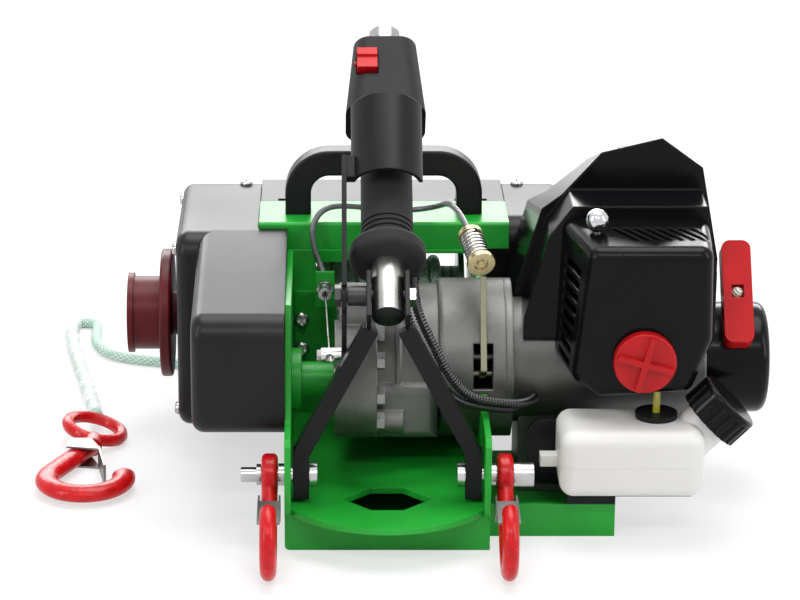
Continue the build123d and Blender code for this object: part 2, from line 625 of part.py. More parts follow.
def drive_chain():
    """The chain's two rows of link plates, one on each side of the sprockets."""
    rows = []
    for side in (-1, 1):
        x = SPROCKET_X + side * (SPROCKET_T / 2 + SIDE_GAP + CHAIN_PLATE_T / 2)
        faces = []
        for grow in (CHAIN_PLATE_H / 2, -CHAIN_PLATE_H / 2):
            small = Pos(OUT_Y, OUT_Z) * Circle(sprocket_pitch_r(SPROCKET_SMALL) + grow)
            large = Pos(DRUM_Y, DRUM_Z) * Circle(sprocket_pitch_r(SPROCKET_LARGE) + grow)
            faces.append(make_hull(small.edges() + large.edges()))
        plane = Plane((x - CHAIN_PLATE_T / 2, 0, 0), x_dir=(0, 1, 0), z_dir=(1, 0, 0))
        rows.append(extrude(plane * (faces[0] - faces[1]), CHAIN_PLATE_T))
    return Compound(children=rows)


def drum_spool():
    """Rope drum: barrel, two flanges and its through shaft."""
    left = CAPSTAN_RIGHT_X - CAPSTAN_LENGTH + 2 * CAPSTAN_RIM_T
    spool = rod_x(left, FRAME_HALF_WIDTH + BEARING_T, DRUM_Y, DRUM_Z, DRUM_SHAFT_R)
    spool += rod_x(-DRUM_HALF_LENGTH, DRUM_HALF_LENGTH, DRUM_Y, DRUM_Z, DRUM_BARREL_R)
    for x in (-DRUM_HALF_LENGTH, DRUM_HALF_LENGTH - DRUM_FLANGE_T):
        spool += rod_x(x, x + DRUM_FLANGE_T, DRUM_Y, DRUM_Z, DRUM_FLANGE_R)
    return spool


def biarc(p0, t0, p1, t1):
    """Two tangent arcs from p0 along t0 to p1 along t1."""
    v = p1 - p0
    t = t0 + t1
    k = 2 * (1 - t0.dot(t1))
    d = (-v.dot(t) + math.sqrt(v.dot(t) ** 2 + k * v.dot(v))) / k
    joint = (p0 + p1 + (t0 - t1) * d) * 0.5
    first = TangentArc(p0, joint, tangent=t0)
    return [first, TangentArc(joint, p1, tangent=first % 1)]


def rope_winding():
    """Rope on the drum: a plain wound core, and the outer layer as one tube."""
    core = rod_x(-DRUM_HALF_LENGTH + DRUM_FLANGE_T + SIDE_GAP, DRUM_HALF_LENGTH - DRUM_FLANGE_T - SIDE_GAP,
                 DRUM_Y, DRUM_Z, WOUND_CORE_R)
    core -= rod_x(-DRUM_HALF_LENGTH, DRUM_HALF_LENGTH, DRUM_Y, DRUM_Z, DRUM_BARREL_R + RUN_GAP)
    plane = Plane((-WIND_PITCH * WIND_TURNS / 2, DRUM_Y, DRUM_Z), x_dir=(0, 1, 0), z_dir=(1, 0, 0))
    path = coil(plane, WIND_R, WIND_PITCH, WIND_TURNS, ROPE_D)
    tube = sweep(Plane(path @ 0, z_dir=path % 0) * Circle(ROPE_D / 2), path)
    print("winding least self gap", round(WIND_PITCH - ROPE_D, 2), "mm, length", round(path.length), "mm")
    return Compound(children=[core, tube])


def capstan():
    """Red side drum on the left end of the drum shaft."""
    left = CAPSTAN_RIGHT_X - CAPSTAN_LENGTH
    body = rod_x(CAPSTAN_RIGHT_X - CAPSTAN_FLANGE_T, CAPSTAN_RIGHT_X, DRUM_Y, DRUM_Z, CAPSTAN_FLANGE_R)
    body = fillet(body.edges(), CAPSTAN_FLANGE_T / 4)
    body += rod_x(left, CAPSTAN_RIGHT_X - 1, DRUM_Y, DRUM_Z, CAPSTAN_R)
    body += rod_x(left, left + CAPSTAN_RIM_T, DRUM_Y, DRUM_Z, CAPSTAN_RIM_R)
    body += rod_x(CAPSTAN_RIGHT_X - 1, COVER_RIM_LEFT_X - 2 * SIDE_GAP, DRUM_Y, DRUM_Z, CAPSTAN_R * 0.6)
    body -= rod_x(left - 1, left + CAPSTAN_RIM_T, DRUM_Y, DRUM_Z, CAPSTAN_R * 0.75)
    return body - rod_x(left + 2 * CAPSTAN_RIM_T, COVER_RIM_LEFT_X, DRUM_Y, DRUM_Z, DRUM_SHAFT_R + RUN_GAP)


def drum_sprocket():
    """Driven sprocket with its hub on the drum shaft."""
    wheel = sprocket(DRUM_Y, DRUM_Z, SPROCKET_LARGE)
    wheel += rod_x(SPROCKET_X - HUB_HALF, SPROCKET_X + HUB_HALF, DRUM_Y, DRUM_Z, BEARING_R)
    return wheel - rod_x(SPROCKET_X - 20, SPROCKET_X + 20, DRUM_Y, DRUM_Z, DRUM_SHAFT_R + RUN_GAP)


def shaft_bearings():
    """Bearing rings in the cheeks for the drum shaft and the output shaft."""
    places = [(-FRAME_HALF_WIDTH, DRUM_Y, DRUM_Z, DRUM_SHAFT_R),
              (FRAME_HALF_WIDTH - BEARING_T, DRUM_Y, DRUM_Z,
              DRUM_SHAFT_R), (-FRAME_HALF_WIDTH, OUT_Y, OUT_Z, OUT_SHAFT_R)]
    rings = []
    for x, y, z, shaft_r in places:
        ring = rod_x(x, x + BEARING_T, y, z, BEARING_R - RUN_GAP)
        rings.append(ring - rod_x(x - 1, x + BEARING_T + 1, y, z, shaft_r + RUN_GAP))
    return Compound(children=rings)


def output_shaft():
    """Shaft from the gearbox to the chain, with the large gear and the small sprocket on it."""
    shaft = rod_x(SPROCKET_X - HUB_HALF, GEARBOX_RIGHT_X - 1, OUT_Y, OUT_Z, OUT_SHAFT_R)
    x0 = GEARBOX_LEFT_X + 2 * CAST_WALL + 1
    shaft += spur_gear(x0, x0 + GEAR_FACE, OUT_Y, OUT_Z, GEAR_TEETH, GEAR_ANGLE + 180 + 180 / GEAR_TEETH)
    return shaft + sprocket(OUT_Y, OUT_Z, SPROCKET_SMALL)


def input_pinion():
    """Pinion shaft that carries the clutch drum."""
    x0 = GEARBOX_LEFT_X + 2 * CAST_WALL
    shaft = rod_x(GEARBOX_LEFT_X + 2, CUP_LEFT_X + 1, ENGINE_Y, ENGINE_Z, IN_SHAFT_R)
    shaft += spur_gear(x0, x0 + GEAR_FACE + 2, ENGINE_Y, ENGINE_Z, PINION_TEETH, GEAR_ANGLE)
    cup = rod_x(CUP_LEFT_X, CUP_RIGHT_X, ENGINE_Y, ENGINE_Z, CUP_R)
    cup -= rod_x(CUP_LEFT_X + CAST_WALL, CUP_RIGHT_X + 1, ENGINE_Y, ENGINE_Z, CUP_R - CAST_WALL)
    return shaft + cup


def gearbox_housing():
    """Casting around the reduction gears, with a bell and a sump towards the clutch housing."""
    x0, x1 = GEARBOX_LEFT_X, GEARBOX_RIGHT_X
    case = rod_x(x0, x1, OUT_Y, OUT_Z, GEARBOX_R) + rod_x(x0, x1, ENGINE_Y, ENGINE_Z, GEARBOX_LOW_R)
    case += rod_x(x0 + CAST_WALL, x1, *GEARBOX_TOP, GEARBOX_TOP_R)
    bell_r = CLUTCH_R - CAST_WALL
    sump = block(x1 - 1, CLUTCH_LEFT_X - SIDE_GAP, SUMP_FRONT_Y, ENGINE_Y, OUT_Z - GEARBOX_R, ENGINE_Z)
    case += rod_x(x1 - 1, CLUTCH_LEFT_X, ENGINE_Y, ENGINE_Z, bell_r)
    case += rod_x(x1 + RIB_X, x1 + RIB_X + CAST_WALL, ENGINE_Y, ENGINE_Z, bell_r + CAST_WALL / 2)
    case += fillet(sump.edges().group_by(Axis.Y)[0], 2 * CAST_WALL)
    case += rod_x(x1 - 1, x1 + 2 * GEARBOX_BOSS_R, SUMP_FRONT_Y + 4, OUT_Z - GEARBOX_TOP_R, GEARBOX_BOSS_R)
    case -= rod_x(x1 + CAST_WALL, CLUTCH_LEFT_X - CAST_WALL, ENGINE_Y, ENGINE_Z, bell_r - CAST_WALL)
    inner0, inner1 = x0 + CAST_WALL, x1 - CAST_WALL
    case -= rod_x(inner0, inner1, OUT_Y, OUT_Z, GEARBOX_R - CAST_WALL)
    case -= rod_x(inner0, inner1, ENGINE_Y, ENGINE_Z, GEARBOX_LOW_R - CAST_WALL)
    case -= rod_x(inner0 + CAST_WALL, inner1, *GEARBOX_TOP, GEARBOX_TOP_R - CAST_WALL)
    case -= rod_x(x0 - 1, inner0 + 1, OUT_Y, OUT_Z, OUT_SHAFT_R + RUN_GAP)
    case -= rod_x(inner1 - 1, x1 - 1, OUT_Y, OUT_Z, OUT_SHAFT_R + RUN_GAP)
    case -= rod_x(x0 + 2, CLUTCH_LEFT_X + 1, ENGINE_Y, ENGINE_Z, IN_SHAFT_R + RUN_GAP)
    for point in housing_bolt_places():
        case -= Plane(point, z_dir=(1, 0, 0)) * Cylinder(HOUSING_BOLT_R + RUN_GAP, 2 * CAST_WALL - 2)
    return case


def housing_bolt_places():
    """Bolt points on the gearbox's right face."""
    radius = GEARBOX_R - CAST_WALL / 2 - 4
    spots = [math.radians(a) for a in (100, 140, 180, 215)]
    return [(GEARBOX_RIGHT_X, OUT_Y + radius * math.cos(a), OUT_Z + radius * math.sin(a)) for a in spots]


def housing_bolts():
    """Hexagon bolts of the gearbox cover."""
    bolt = hex_bolt(HOUSING_BOLT_R, HOUSING_BOLT_R * 1.9, HOUSING_BOLT_R * 1.6, CAST_WALL - 1.5)
    return Compound(children=[Plane(p, z_dir=(1, 0, 0)) * bolt for p in housing_bolt_places()])


def clutch_housing():
    """Bell housing around the clutch drum, with a front slot for the release lever."""
    bell = rod_x(CLUTCH_LEFT_X, CLUTCH_RIGHT_X, ENGINE_Y, ENGINE_Z, CLUTCH_R)
    bell = fillet(bell.edges().sort_by(Axis.X)[0], CAST_WALL)
    bell -= rod_x(CLUTCH_LEFT_X + CAST_WALL, CLUTCH_RIGHT_X + 1, ENGINE_Y, ENGINE_Z, CLUTCH_R - CAST_WALL)
    bell -= rod_x(CLUTCH_LEFT_X - 1, CLUTCH_LEFT_X + CAST_WALL + 1, ENGINE_Y, ENGINE_Z, IN_SHAFT_R + SIDE_GAP)
    for x in (RELEASE_X - LUG_GAP - LUG_T, RELEASE_X + LUG_GAP):
        bell += block(x, x + LUG_T, ENGINE_Y - CLUTCH_R + 2, RELEASE_PIN[0] + 7, RELEASE_PIN[1] - 8,
                      RELEASE_PIN[1] + 8)
    bell -= rod_x(RELEASE_X - LUG_GAP - LUG_T - 1, RELEASE_X + LUG_GAP + LUG_T + 1, *RELEASE_PIN,
                  RELEASE_PIN_R + RUN_GAP)
    slot = block(RELEASE_X - LUG_GAP, RELEASE_X + LUG_GAP, ENGINE_Y - CLUTCH_R - 1, RELEASE_PIN[0],
                 RELEASE_PIN[1] - 6, RELEASE_PIN[1] + 31)
    return bell - slot


def release_lever():
    """Bent strip on a pin in the bell housing; its upper end stands under the plunger."""
    x0, x1 = RELEASE_X - RELEASE_W / 2, RELEASE_X + RELEASE_W / 2
    lever = (bar_x(RELEASE_PIN, RELEASE_KNEE, RELEASE_T, x0, x1)
             + bar_x(RELEASE_KNEE, RELEASE_TIP, RELEASE_T, x0, x1))
    lever += rod_x(x0, x1, *RELEASE_KNEE, RELEASE_T / 2) + rod_x(x0, x1, *RELEASE_PIN, RELEASE_PIN_R + 3)
    reach = LUG_GAP + LUG_T
    return lever + rod_x(RELEASE_X - reach, RELEASE_X + reach, *RELEASE_PIN, RELEASE_PIN_R)


def crankcase():
    """Engine crankcase with its mounting flange, cylinder pad and foot on the rail."""
    case = rod_x(CLUTCH_RIGHT_X, CRANKCASE_RIGHT_X, ENGINE_Y, ENGINE_Z, CRANKCASE_R)
    case += rod_x(CLUTCH_RIGHT_X, CLUTCH_RIGHT_X + 6, ENGINE_Y, ENGINE_Z, CLUTCH_R)
    case += block(CYLINDER_X - FIN_HALF, CYLINDER_X + FIN_HALF, ENGINE_Y - FIN_HALF, ENGINE_Y + FIN_HALF,
                  ENGINE_Z + 30, PAD_TOP_Z)
    case += block(CLUTCH_RIGHT_X + 12, RAIL_RIGHT_X - 8, ENGINE_Y - 38, ENGINE_Y + 40, SHEET, ENGINE_Z - 35)
    case -= rod_x(CLUTCH_RIGHT_X + 6, CRANKCASE_RIGHT_X - CAST_WALL, ENGINE_Y, ENGINE_Z, CRANKCASE_R - 6)
    case -= rod_x(CLUTCH_RIGHT_X - 1, CRANKCASE_RIGHT_X + 1, ENGINE_Y, ENGINE_Z, IN_SHAFT_R + RUN_GAP)
    return case - rod_z(CYLINDER_X, ENGINE_Y, ENGINE_Z + 20, PAD_TOP_Z + 1, CYLINDER_BORE_R)


def crankshaft():
    """Crankshaft with the clutch rotor, counterweight and flywheel."""
    shaft = rod_x(CUP_LEFT_X + 2 * CAST_WALL, CRANKCASE_RIGHT_X + 2, ENGINE_Y, ENGINE_Z, IN_SHAFT_R)
    shaft += rod_x(CUP_LEFT_X + 2 * CAST_WALL, CUP_RIGHT_X - 2, ENGINE_Y, ENGINE_Z, CUP_R - CAST_WALL - 1)
    shaft += rod_x(CYLINDER_X - 14, CYLINDER_X + 14, ENGINE_Y, ENGINE_Z, CRANKCASE_R - 20)
    return shaft + rod_x(CRANKCASE_RIGHT_X - 28, CRANKCASE_RIGHT_X - 10, ENGINE_Y, ENGINE_Z, CRANKCASE_R - 10)


def cylinder():
    """Air-cooled cylinder with square fins."""
    barrel = rod_z(CYLINDER_X, ENGINE_Y, PAD_TOP_Z, CYLINDER_TOP_Z, CYLINDER_BORE_R + 6)
    step = (CYLINDER_TOP_Z - PAD_TOP_Z) / FIN_COUNT
    for i in range(1, FIN_COUNT + 1):
        z = PAD_TOP_Z + step * i
        barrel += block(CYLINDER_X - FIN_HALF, CYLINDER_X + FIN_HALF, ENGINE_Y - FIN_HALF,
                        ENGINE_Y + FIN_HALF, z - 3, z)
    return barrel - rod_z(CYLINDER_X, ENGINE_Y, PAD_TOP_Z - 1, CYLINDER_TOP_Z - 12, CYLINDER_BORE_R)


def shroud_shell(near, far, y0, y1, inset):
    """Solid of one shroud section between two outlines, inset for its inside."""
    faces = []
    for points, y in ((near, y0 + inset), (far, y1 - inset)):
        face = make_face(Polyline(*points, close=True))
        if inset > 0:
            face = offset(face, amount=-inset, kind=Kind.INTERSECTION)
        faces.append(Plane((0, y, 0), x_dir=(1, 0, 0), z_dir=(0, -1, 0)) * face)
    return loft(faces, ruled=True)


def engine_shroud():
    """Faceted cover over the cylinder and muffler, open below."""
    shell = shroud_shell(SHROUD_REAR, SHROUD_TAIL, SHROUD_STEP_Y, SHROUD_BACK_Y, 0)
    shell += shroud_shell(SHROUD_FRONT, SHROUD_FRONT, SHROUD_FRONT_Y, SHROUD_STEP_Y, 0)
    shell -= shroud_shell(SHROUD_REAR, SHROUD_TAIL, SHROUD_STEP_Y, SHROUD_BACK_Y, SHROUD_WALL)
    through_y = SHROUD_STEP_Y + 2 * SHROUD_WALL + 1
    shell -= shroud_shell(SHROUD_FRONT, SHROUD_FRONT, SHROUD_FRONT_Y, through_y, SHROUD_WALL)
    shell -= block(0, PAST_X, SHROUD_FRONT_Y - 1, SHROUD_BACK_Y + 1, SHROUD_LOW_Z - 1,
                   SHROUD_LOW_Z + SHROUD_WALL)
    shell += rod_z(CYLINDER_X, ENGINE_Y + 10, CYLINDER_TOP_Z, SHROUD_POST_Z, 6)
    shell -= rod_x(0, CLUTCH_RIGHT_X + 6 + CURVE_GAP, ENGINE_Y, ENGINE_Z, CLUTCH_R + CURVE_GAP)
    shell -= rod_x(CRANKCASE_RIGHT_X - CURVE_GAP, PAST_X, ENGINE_Y, ENGINE_Z, STARTER_R + CURVE_GAP)
    return shell - rod_x(0, PAST_X, ENGINE_Y, ENGINE_Z, CRANKCASE_R + CURVE_GAP)


def filter_solid(inset):
    """Tapered block of the air filter cover, inset for its inside."""
    faces = []
    for points, y in ((FILTER_BACK, FILTER_BACK_Y + inset / 3), (FILTER_FRONT, FILTER_FRONT_Y + 2 * inset)):
        face = make_face(Polyline(*points, close=True))
        if inset > 0:
            face = offset(face, amount=-inset, kind=Kind.INTERSECTION)
        face = fillet(face.vertices(), FILTER_ROUND - inset / 2)
        faces.append(Plane((0, y, 0), x_dir=(1, 0, 0), z_dir=(0, -1, 0)) * face)
    return loft(faces, ruled=True)


def air_filter_cover():
    """Air filter cover with louvres on its top and left faces, open at the back."""
    cover = filter_solid(0)
    cover = fillet(cover.faces().sort_by(Axis.Y)[0].edges(), FILTER_ROUND)
    cover -= filter_solid(COVER_WALL)
    for i in range(LOUVRES):
        step = i * LOUVRE_PITCH
        cover -= Pos(BALL_X + 22 + 0.8 * step, FILTER_BACK_Y - 34, FILTER_BACK[0][1]) * Rot(0, 0, 35) * Box(
            0.7 * LOUVRE_WIDTH, 32, 4 * COVER_WALL)
        cover -= Pos(FILTER_BACK[5][0] + 4, FILTER_BACK_Y - 30,
                     FILTER_FRONT[5][1] + 8 + step) * Rot(0, 12, 0) * Box(
            30, 38, LOUVRE_WIDTH)
    cover -= rod_x(0, PAST_X, ENGINE_Y, ENGINE_Z, CRANKCASE_R + CURVE_GAP)
    cover -= rod_z(GROMMET_X, GROMMET_Y, FILTER_FRONT[4][1] - 20, FILTER_FRONT[4][1] + 20, LINE_R + CURVE_GAP)
    cover -= rod_z(BALL_X, BALL_Y, FILTER_BACK[0][1] - 20, FILTER_BACK[0][1] + 5, STEM_R + RUN_GAP)
    return cover - rod_y(KNOB_X, FILTER_FRONT_Y - 1, FILTER_FRONT_Y + 2 * COVER_WALL, KNOB_Z,
                         STEM_R + RUN_GAP)


def filter_knob():
    """Round filter knob with a four-armed cross."""
    knob = rod_y(KNOB_X, FILTER_FRONT_Y - KNOB_T, FILTER_FRONT_Y - SIDE_GAP, KNOB_Z, KNOB_R)
    knob = fillet(knob.edges().sort_by(Axis.Y)[0], 2)
    for angle in (15, 105):
        arm = Pos(KNOB_X, FILTER_FRONT_Y - KNOB_T, KNOB_Z) * Rot(0, angle, 0) * Box(5, 8, 2 * KNOB_R - 4)
        knob += arm
    return knob + rod_y(KNOB_X, FILTER_FRONT_Y - 2, FILTER_FRONT_Y + 3 * COVER_WALL, KNOB_Z, STEM_R)


def choke_knob():
    """Bright ball on a stem that slides in the filter cover's top."""
    ball = Pos(BALL_X, BALL_Y, BALL_Z) * Sphere(BALL_R)
    return ball + rod_z(BALL_X, BALL_Y, BALL_Z - BALL_R - 14, BALL_Z, STEM_R)


def starter_housing():
    """Recoil starter case with its axle post and rope ferrule."""
    x0 = CRANKCASE_RIGHT_X
    case = rod_x(x0, STARTER_RIGHT_X, ENGINE_Y, ENGINE_Z, STARTER_R)
    case = fillet(case.edges().sort_by(Axis.X)[-1], 8)
    case += PULL * Pos(0, 0, -2) * Cylinder(8, 22)
    case -= rod_x(x0 + CAST_WALL, STARTER_RIGHT_X - COVER_WALL, ENGINE_Y, ENGINE_Z, STARTER_R - COVER_WALL)
    case += rod_x(x0 + 14, STARTER_RIGHT_X - 1, ENGINE_Y, ENGINE_Z, 6)
    case -= rod_x(x0 - 1, x0 + CAST_WALL + 1, ENGINE_Y, ENGINE_Z, IN_SHAFT_R + 1)
    return case - PULL * Pos(0, 0, -10) * Cylinder(CORD_R + CURVE_GAP, 40)


def starter_pulley():
    """Rope pulley of the recoil starter."""
    x0, x1 = PULL_X - 10, PULL_X + 10
    wheel = rod_x(x0, x1, ENGINE_Y, ENGINE_Z, STARTER_PULLEY_R)
    groove = rod_x(PULL_X - 4, PULL_X + 4, ENGINE_Y, ENGINE_Z, STARTER_PULLEY_R + 1)
    wheel -= groove - rod_x(PULL_X - 5, PULL_X + 5, ENGINE_Y, ENGINE_Z, STARTER_PULLEY_R - 3)
    return wheel - rod_x(x0 - 1, x1 + 1, ENGINE_Y, ENGINE_Z, 6 + RUN_GAP)


def starter_grip():
    """Pull grip with its knot recess and the straight end of the starter rope."""
    grip = Pos(0, 0, GRIP_BASE + GRIP_DEPTH / 2) * Box(GRIP_WIDTH, GRIP_LENGTH, GRIP_DEPTH)
    grip = fillet(grip.edges().filter_by(Axis.Z), GRIP_WIDTH * 0.3)
    grip -= Pos(0, 0, GRIP_BASE + GRIP_DEPTH) * Box(10, 11, 12)
    grip += Pos(0, 0, GRIP_BASE + GRIP_DEPTH - 5) * Sphere(4.5)
    grip += Pos(0, 0, GRIP_BASE + 1 - CORD_STUB / 2) * Cylinder(CORD_R, CORD_STUB)
    return PULL * grip


def fuel_tank():
    """Moulded fuel tank with a slanted filler neck and a small tab."""
    tank = block(TANK_LEFT_X, TANK_RIGHT_X, TANK_FRONT_Y, TANK_BACK_Y, TANK_LOW_Z, TANK_TOP_Z)
    tank = fillet(tank.edges(), TANK_ROUND)
    tank += block(TANK_LEFT_X - 14, TANK_LEFT_X + 4, TANK_FRONT_Y + 30, TANK_FRONT_Y + 42, TANK_LOW_Z + 17,
                  TANK_LOW_Z + 26)
    tank += NECK * Pos(0, 0, -8) * Cylinder(NECK_R, 46)
    w = TANK_WALL
    inside = block(TANK_LEFT_X + w, TANK_RIGHT_X - w, TANK_FRONT_Y + w, TANK_BACK_Y - w, TANK_LOW_Z + w,
                   TANK_TOP_Z - w)
    tank -= fillet(inside.edges(), TANK_ROUND - w)
    tank -= NECK * Pos(0, 0, -8) * Cylinder(NECK_R - 3, 47)
    return tank - rod_z(GROMMET_X, GROMMET_Y, TANK_TOP_Z - 6, TANK_TOP_Z + 1, GROMMET_R + RUN_GAP)


def fuel_cap():
    """Ribbed screw cap on the filler neck."""
    cap = Pos(0, 0, CAP_T / 2) * Cylinder(CAP_R, CAP_T)
    cap = fillet(cap.edges().sort_by(Axis.Z)[-1], 3)
    for i in range(CAP_RIBS):
        cap -= Rot(0, 0, 360 * i / CAP_RIBS) * Pos(CAP_R + 0.5, 0, CAP_T / 2 - 3) * Cylinder(2, CAP_T - 4)
    cap -= Pos(0, 0, 8) * Cylinder(NECK_R + RUN_GAP, 17)
    return NECK * cap


def tank_grommet():
    """Rubber grommet in the tank's top, around the fuel line."""
    ring = rod_z(GROMMET_X, GROMMET_Y, TANK_TOP_Z, TANK_TOP_Z + 4, GROMMET_R + 6)
    ring += rod_z(GROMMET_X, GROMMET_Y, TANK_TOP_Z - 4, TANK_TOP_Z + 1, GROMMET_R)
    return ring - rod_z(GROMMET_X, GROMMET_Y, TANK_TOP_Z - 5, TANK_TOP_Z + 6, LINE_R + RUN_GAP)


def fuel_line():
    """Short fuel line from the tank up behind the filter cover."""
    line = rod_z(GROMMET_X, GROMMET_Y, TANK_TOP_Z - 8, FILTER_FRONT[4][1] + 22, LINE_R)
    return line - rod_z(GROMMET_X, GROMMET_Y, TANK_TOP_Z - 9, FILTER_FRONT[4][1] + 23, LINE_R / 2)


def tank_bracket():
    """Black bracket under and behind the tank."""
    back_y = TANK_BACK_Y + SIDE_GAP
    outline = [(TANK_LEFT_X - 22, RAIL_HEIGHT), (TANK_RIGHT_X + 4, RAIL_HEIGHT),
               (TANK_RIGHT_X + 4, TANK_TOP_Z - 14), (TANK_LEFT_X - 22, TANK_TOP_Z - 14)]
    upright = plate_y(outline, back_y, back_y + SHEET, TANK_ROUND)
    shelf = block(TANK_LEFT_X + 8, TANK_RIGHT_X - 8, RAIL_FRONT_Y - 8, back_y + 1, TANK_LOW_Z - SHEET,
                  TANK_LOW_Z)
    leg = block(TANK_LEFT_X + 8, RAIL_RIGHT_X, RAIL_FRONT_Y, RAIL_FRONT_Y + SHEET, RAIL_HEIGHT,
                TANK_LOW_Z - 1)
    foot = block(TANK_LEFT_X, RAIL_RIGHT_X - 12, back_y, ENGINE_Y - 38, RAIL_HEIGHT + SHEET, TANK_LOW_Z)
    return upright + shelf + leg + foot


def cable_bracket():
    """Green slotted bracket on the wall, with a forward tab for the cable adjuster."""
    low, high = BRACKET_Z
    plate = block(*BRACKET_X, WALL_Y - BRACKET_T, WALL_Y, low, high)
    for z in BRACKET_SCREW_Z:
        slot = rod_y(BRACKET_SCREW_X, WALL_Y - BRACKET_T - 1, WALL_Y + 1, z, BRACKET_SCREW_R + RUN_GAP)
        slot += rod_y(BRACKET_SCREW_X, WALL_Y - BRACKET_T - 1, WALL_Y + 1, z - 11, BRACKET_SCREW_R + RUN_GAP)
        slot += block(BRACKET_SCREW_X - BRACKET_SCREW_R, BRACKET_SCREW_X + BRACKET_SCREW_R,
                      WALL_Y - BRACKET_T - 1, WALL_Y + 1, z - 11, z)
        plate -= slot
    web = block(ADJUST_X - 8, ADJUST_X + 8, TAB_Y, WALL_Y, high - 1, high + BRACKET_T)
    tab = block(ADJUST_X - 8, ADJUST_X + 8, TAB_Y, TAB_Y + BRACKET_T, high - 1, ADJUST_Z + 14)
    tab = tab - rod_y(ADJUST_X, TAB_Y - 1, TAB_Y + BRACKET_T + 1, ADJUST_Z, ADJUST_R + RUN_GAP)
    return plate + web + tab


def bracket_screws():
    """Two cross-slotted screws in the bracket's slots."""
    screw = pan_screw(BRACKET_SCREW_R, BRACKET_SCREW_R * 2.2, BRACKET_T + WALL_THICK)
    return Compound(children=[Plane((BRACKET_SCREW_X, WALL_Y - BRACKET_T, z), z_dir=(0, -1, 0)) * screw
                              for z in BRACKET_SCREW_Z])


def cable_adjuster():
    """Threaded adjuster held in the tab by two nuts, with a blind bore for the wire."""
    body = rod_y(ADJUST_X, TAB_Y - 17, CABLE_POINTS[0][1], ADJUST_Z, ADJUST_R)
    body += rod_y(ADJUST_X, TAB_Y - 17, TAB_Y - 12, ADJUST_Z, ADJUST_R + 1.5)
    for y in (TAB_Y, TAB_Y + BRACKET_T + 4):
        nut = Plane((ADJUST_X, y, ADJUST_Z), x_dir=(1, 0, 0), z_dir=(0, -1, 0)) * RegularPolygon(7.5, 6)
        body += extrude(nut, 4)
    return body - rod_y(ADJUST_X, TAB_Y - 18, TAB_Y - 4, ADJUST_Z, 2.6)


def soft_tube(points, radius):
    """Round tube along straight runs and tangent arcs; prints its least bend radius."""
    stops = [Vector(*p) for p in points]
    radii = []
    for a, b, c in zip(stops, stops[1:], stops[2:]):
        turn = math.radians((b - a).get_angle(c - b))
        radii.append(0.45 * min((b - a).length, (c - b).length) / math.tan(turn / 2))
    print("tube of radius", radius, "bend radii", [round(r) for r in radii])
    path = FilletPolyline(*stops, radius=radii)
    section = Plane(path @ 0, z_dir=path % 0) * Circle(radius)
    return sweep(section, path)


def brake_cable():
    """Outer cable from the adjuster over the beam to the release plunger."""
    ends = [tuple(PLUNGER.from_local_coords((0, 0, PLUNGER_LENGTH + run))) for run in (48, 0)]
    return soft_tube(CABLE_POINTS + ends, CABLE_R)


def release_plunger():
    """Brass-ended plunger rod that the release spring sits on."""
    rod = Pos(0, 0, PLUNGER_LENGTH / 2) * Cylinder(4, PLUNGER_LENGTH)
    rod += Pos(0, 0, 2) * Cylinder(PLUNGER_R, 4)
    rod += Pos(0, 0, PLUNGER_LENGTH - 2) * Cylinder(PLUNGER_R - 1, 4)
    return PLUNGER * (rod - Pos(0, 0, 1) * Cylinder(PLUNGER_R / 2, 3) + Pos(0, 0, 1.5) * Cylinder(3, 3))


def coil(plane, radius, pitch, turns, straight):
    """Path of a coil about the plane's normal, in quarter-turn biarcs with straight ends."""
    def spot(turn):
        angle = 2 * math.pi * turn
        point = plane.from_local_coords((radius * math.cos(angle), radius * math.sin(angle), pitch * turn))
        ahead = plane.from_local_coords((-radius * math.sin(angle), radius * math.cos(angle),
                                         pitch / (2 * math.pi)))
        return Vector(point), (Vector(ahead) - plane.origin).normalized()
    start, way = spot(0)
    edges = [Line(start - way * straight, start)]
    for i in range(4 * turns):
        edges += biarc(*spot(i / 4), *spot((i + 1) / 4))
    end, way_out = spot(turns)
    edges.append(Line(end, end + way_out * straight))
    return Wire(edges)


def release_spring():
    """Coil spring around the plunger rod."""
    wire_r = SPRING_WIRE / 2
    free = PLUNGER_LENGTH - 8 - SPRING_WIRE - 2 * CURVE_GAP
    path = coil(PLUNGER.offset(4 + wire_r + CURVE_GAP), SPRING_R, free / SPRING_TURNS, SPRING_TURNS,
                SPRING_WIRE)
    print("spring least self gap", round(free / SPRING_TURNS - SPRING_WIRE, 2), "mm")
    return sweep(Plane(path @ 0, z_dir=path % 0) * Circle(wire_r), path)


def rod_between(start, end, radius):
    """Cylinder from one point to another."""
    a, b = Vector(*start), Vector(*end)
    return extrude(Plane(a, z_dir=b - a) * Circle(radius), (b - a).length)


def brake_wire():
    """Bare inner wire from the adjuster to the dead-man lever's clamp."""
    return rod_between(WIRE_START, WIRE_END, WIRE_R)


def control_tube():
    """Bright tube of the control arm."""
    tube = ARM * Pos(0, 0, TUBE_LENGTH / 2) * (Cylinder(TUBE_R, TUBE_LENGTH)
                                               - Cylinder(TUBE_R - TUBE_WALL, TUBE_LENGTH + 2))
    return tube - rod_x(-30, 30, *CROSS_BOLT, CROSS_BOLT_R + RUN_GAP)


def arm_block(x0, x1, y0, y1, s0, s1):
    """Box in the control arm's own frame."""
    return ARM * block(x0, x1, y0, y1, s0, s1)


def bar_y(start, end, thick, y0, y1):
    """Straight bar in an (X, Z) plane from start to end, square ended."""
    dx, dz = end[0] - start[0], end[1] - start[1]
    angle = math.degrees(math.atan2(dz, dx))
    middle = Pos((start[0] + end[0]) / 2, (y0 + y1) / 2, (start[1] + end[1]) / 2)
    return middle * Rot(0, -angle, 0) * Box(math.hypot(dx, dz), y1 - y0, thick)


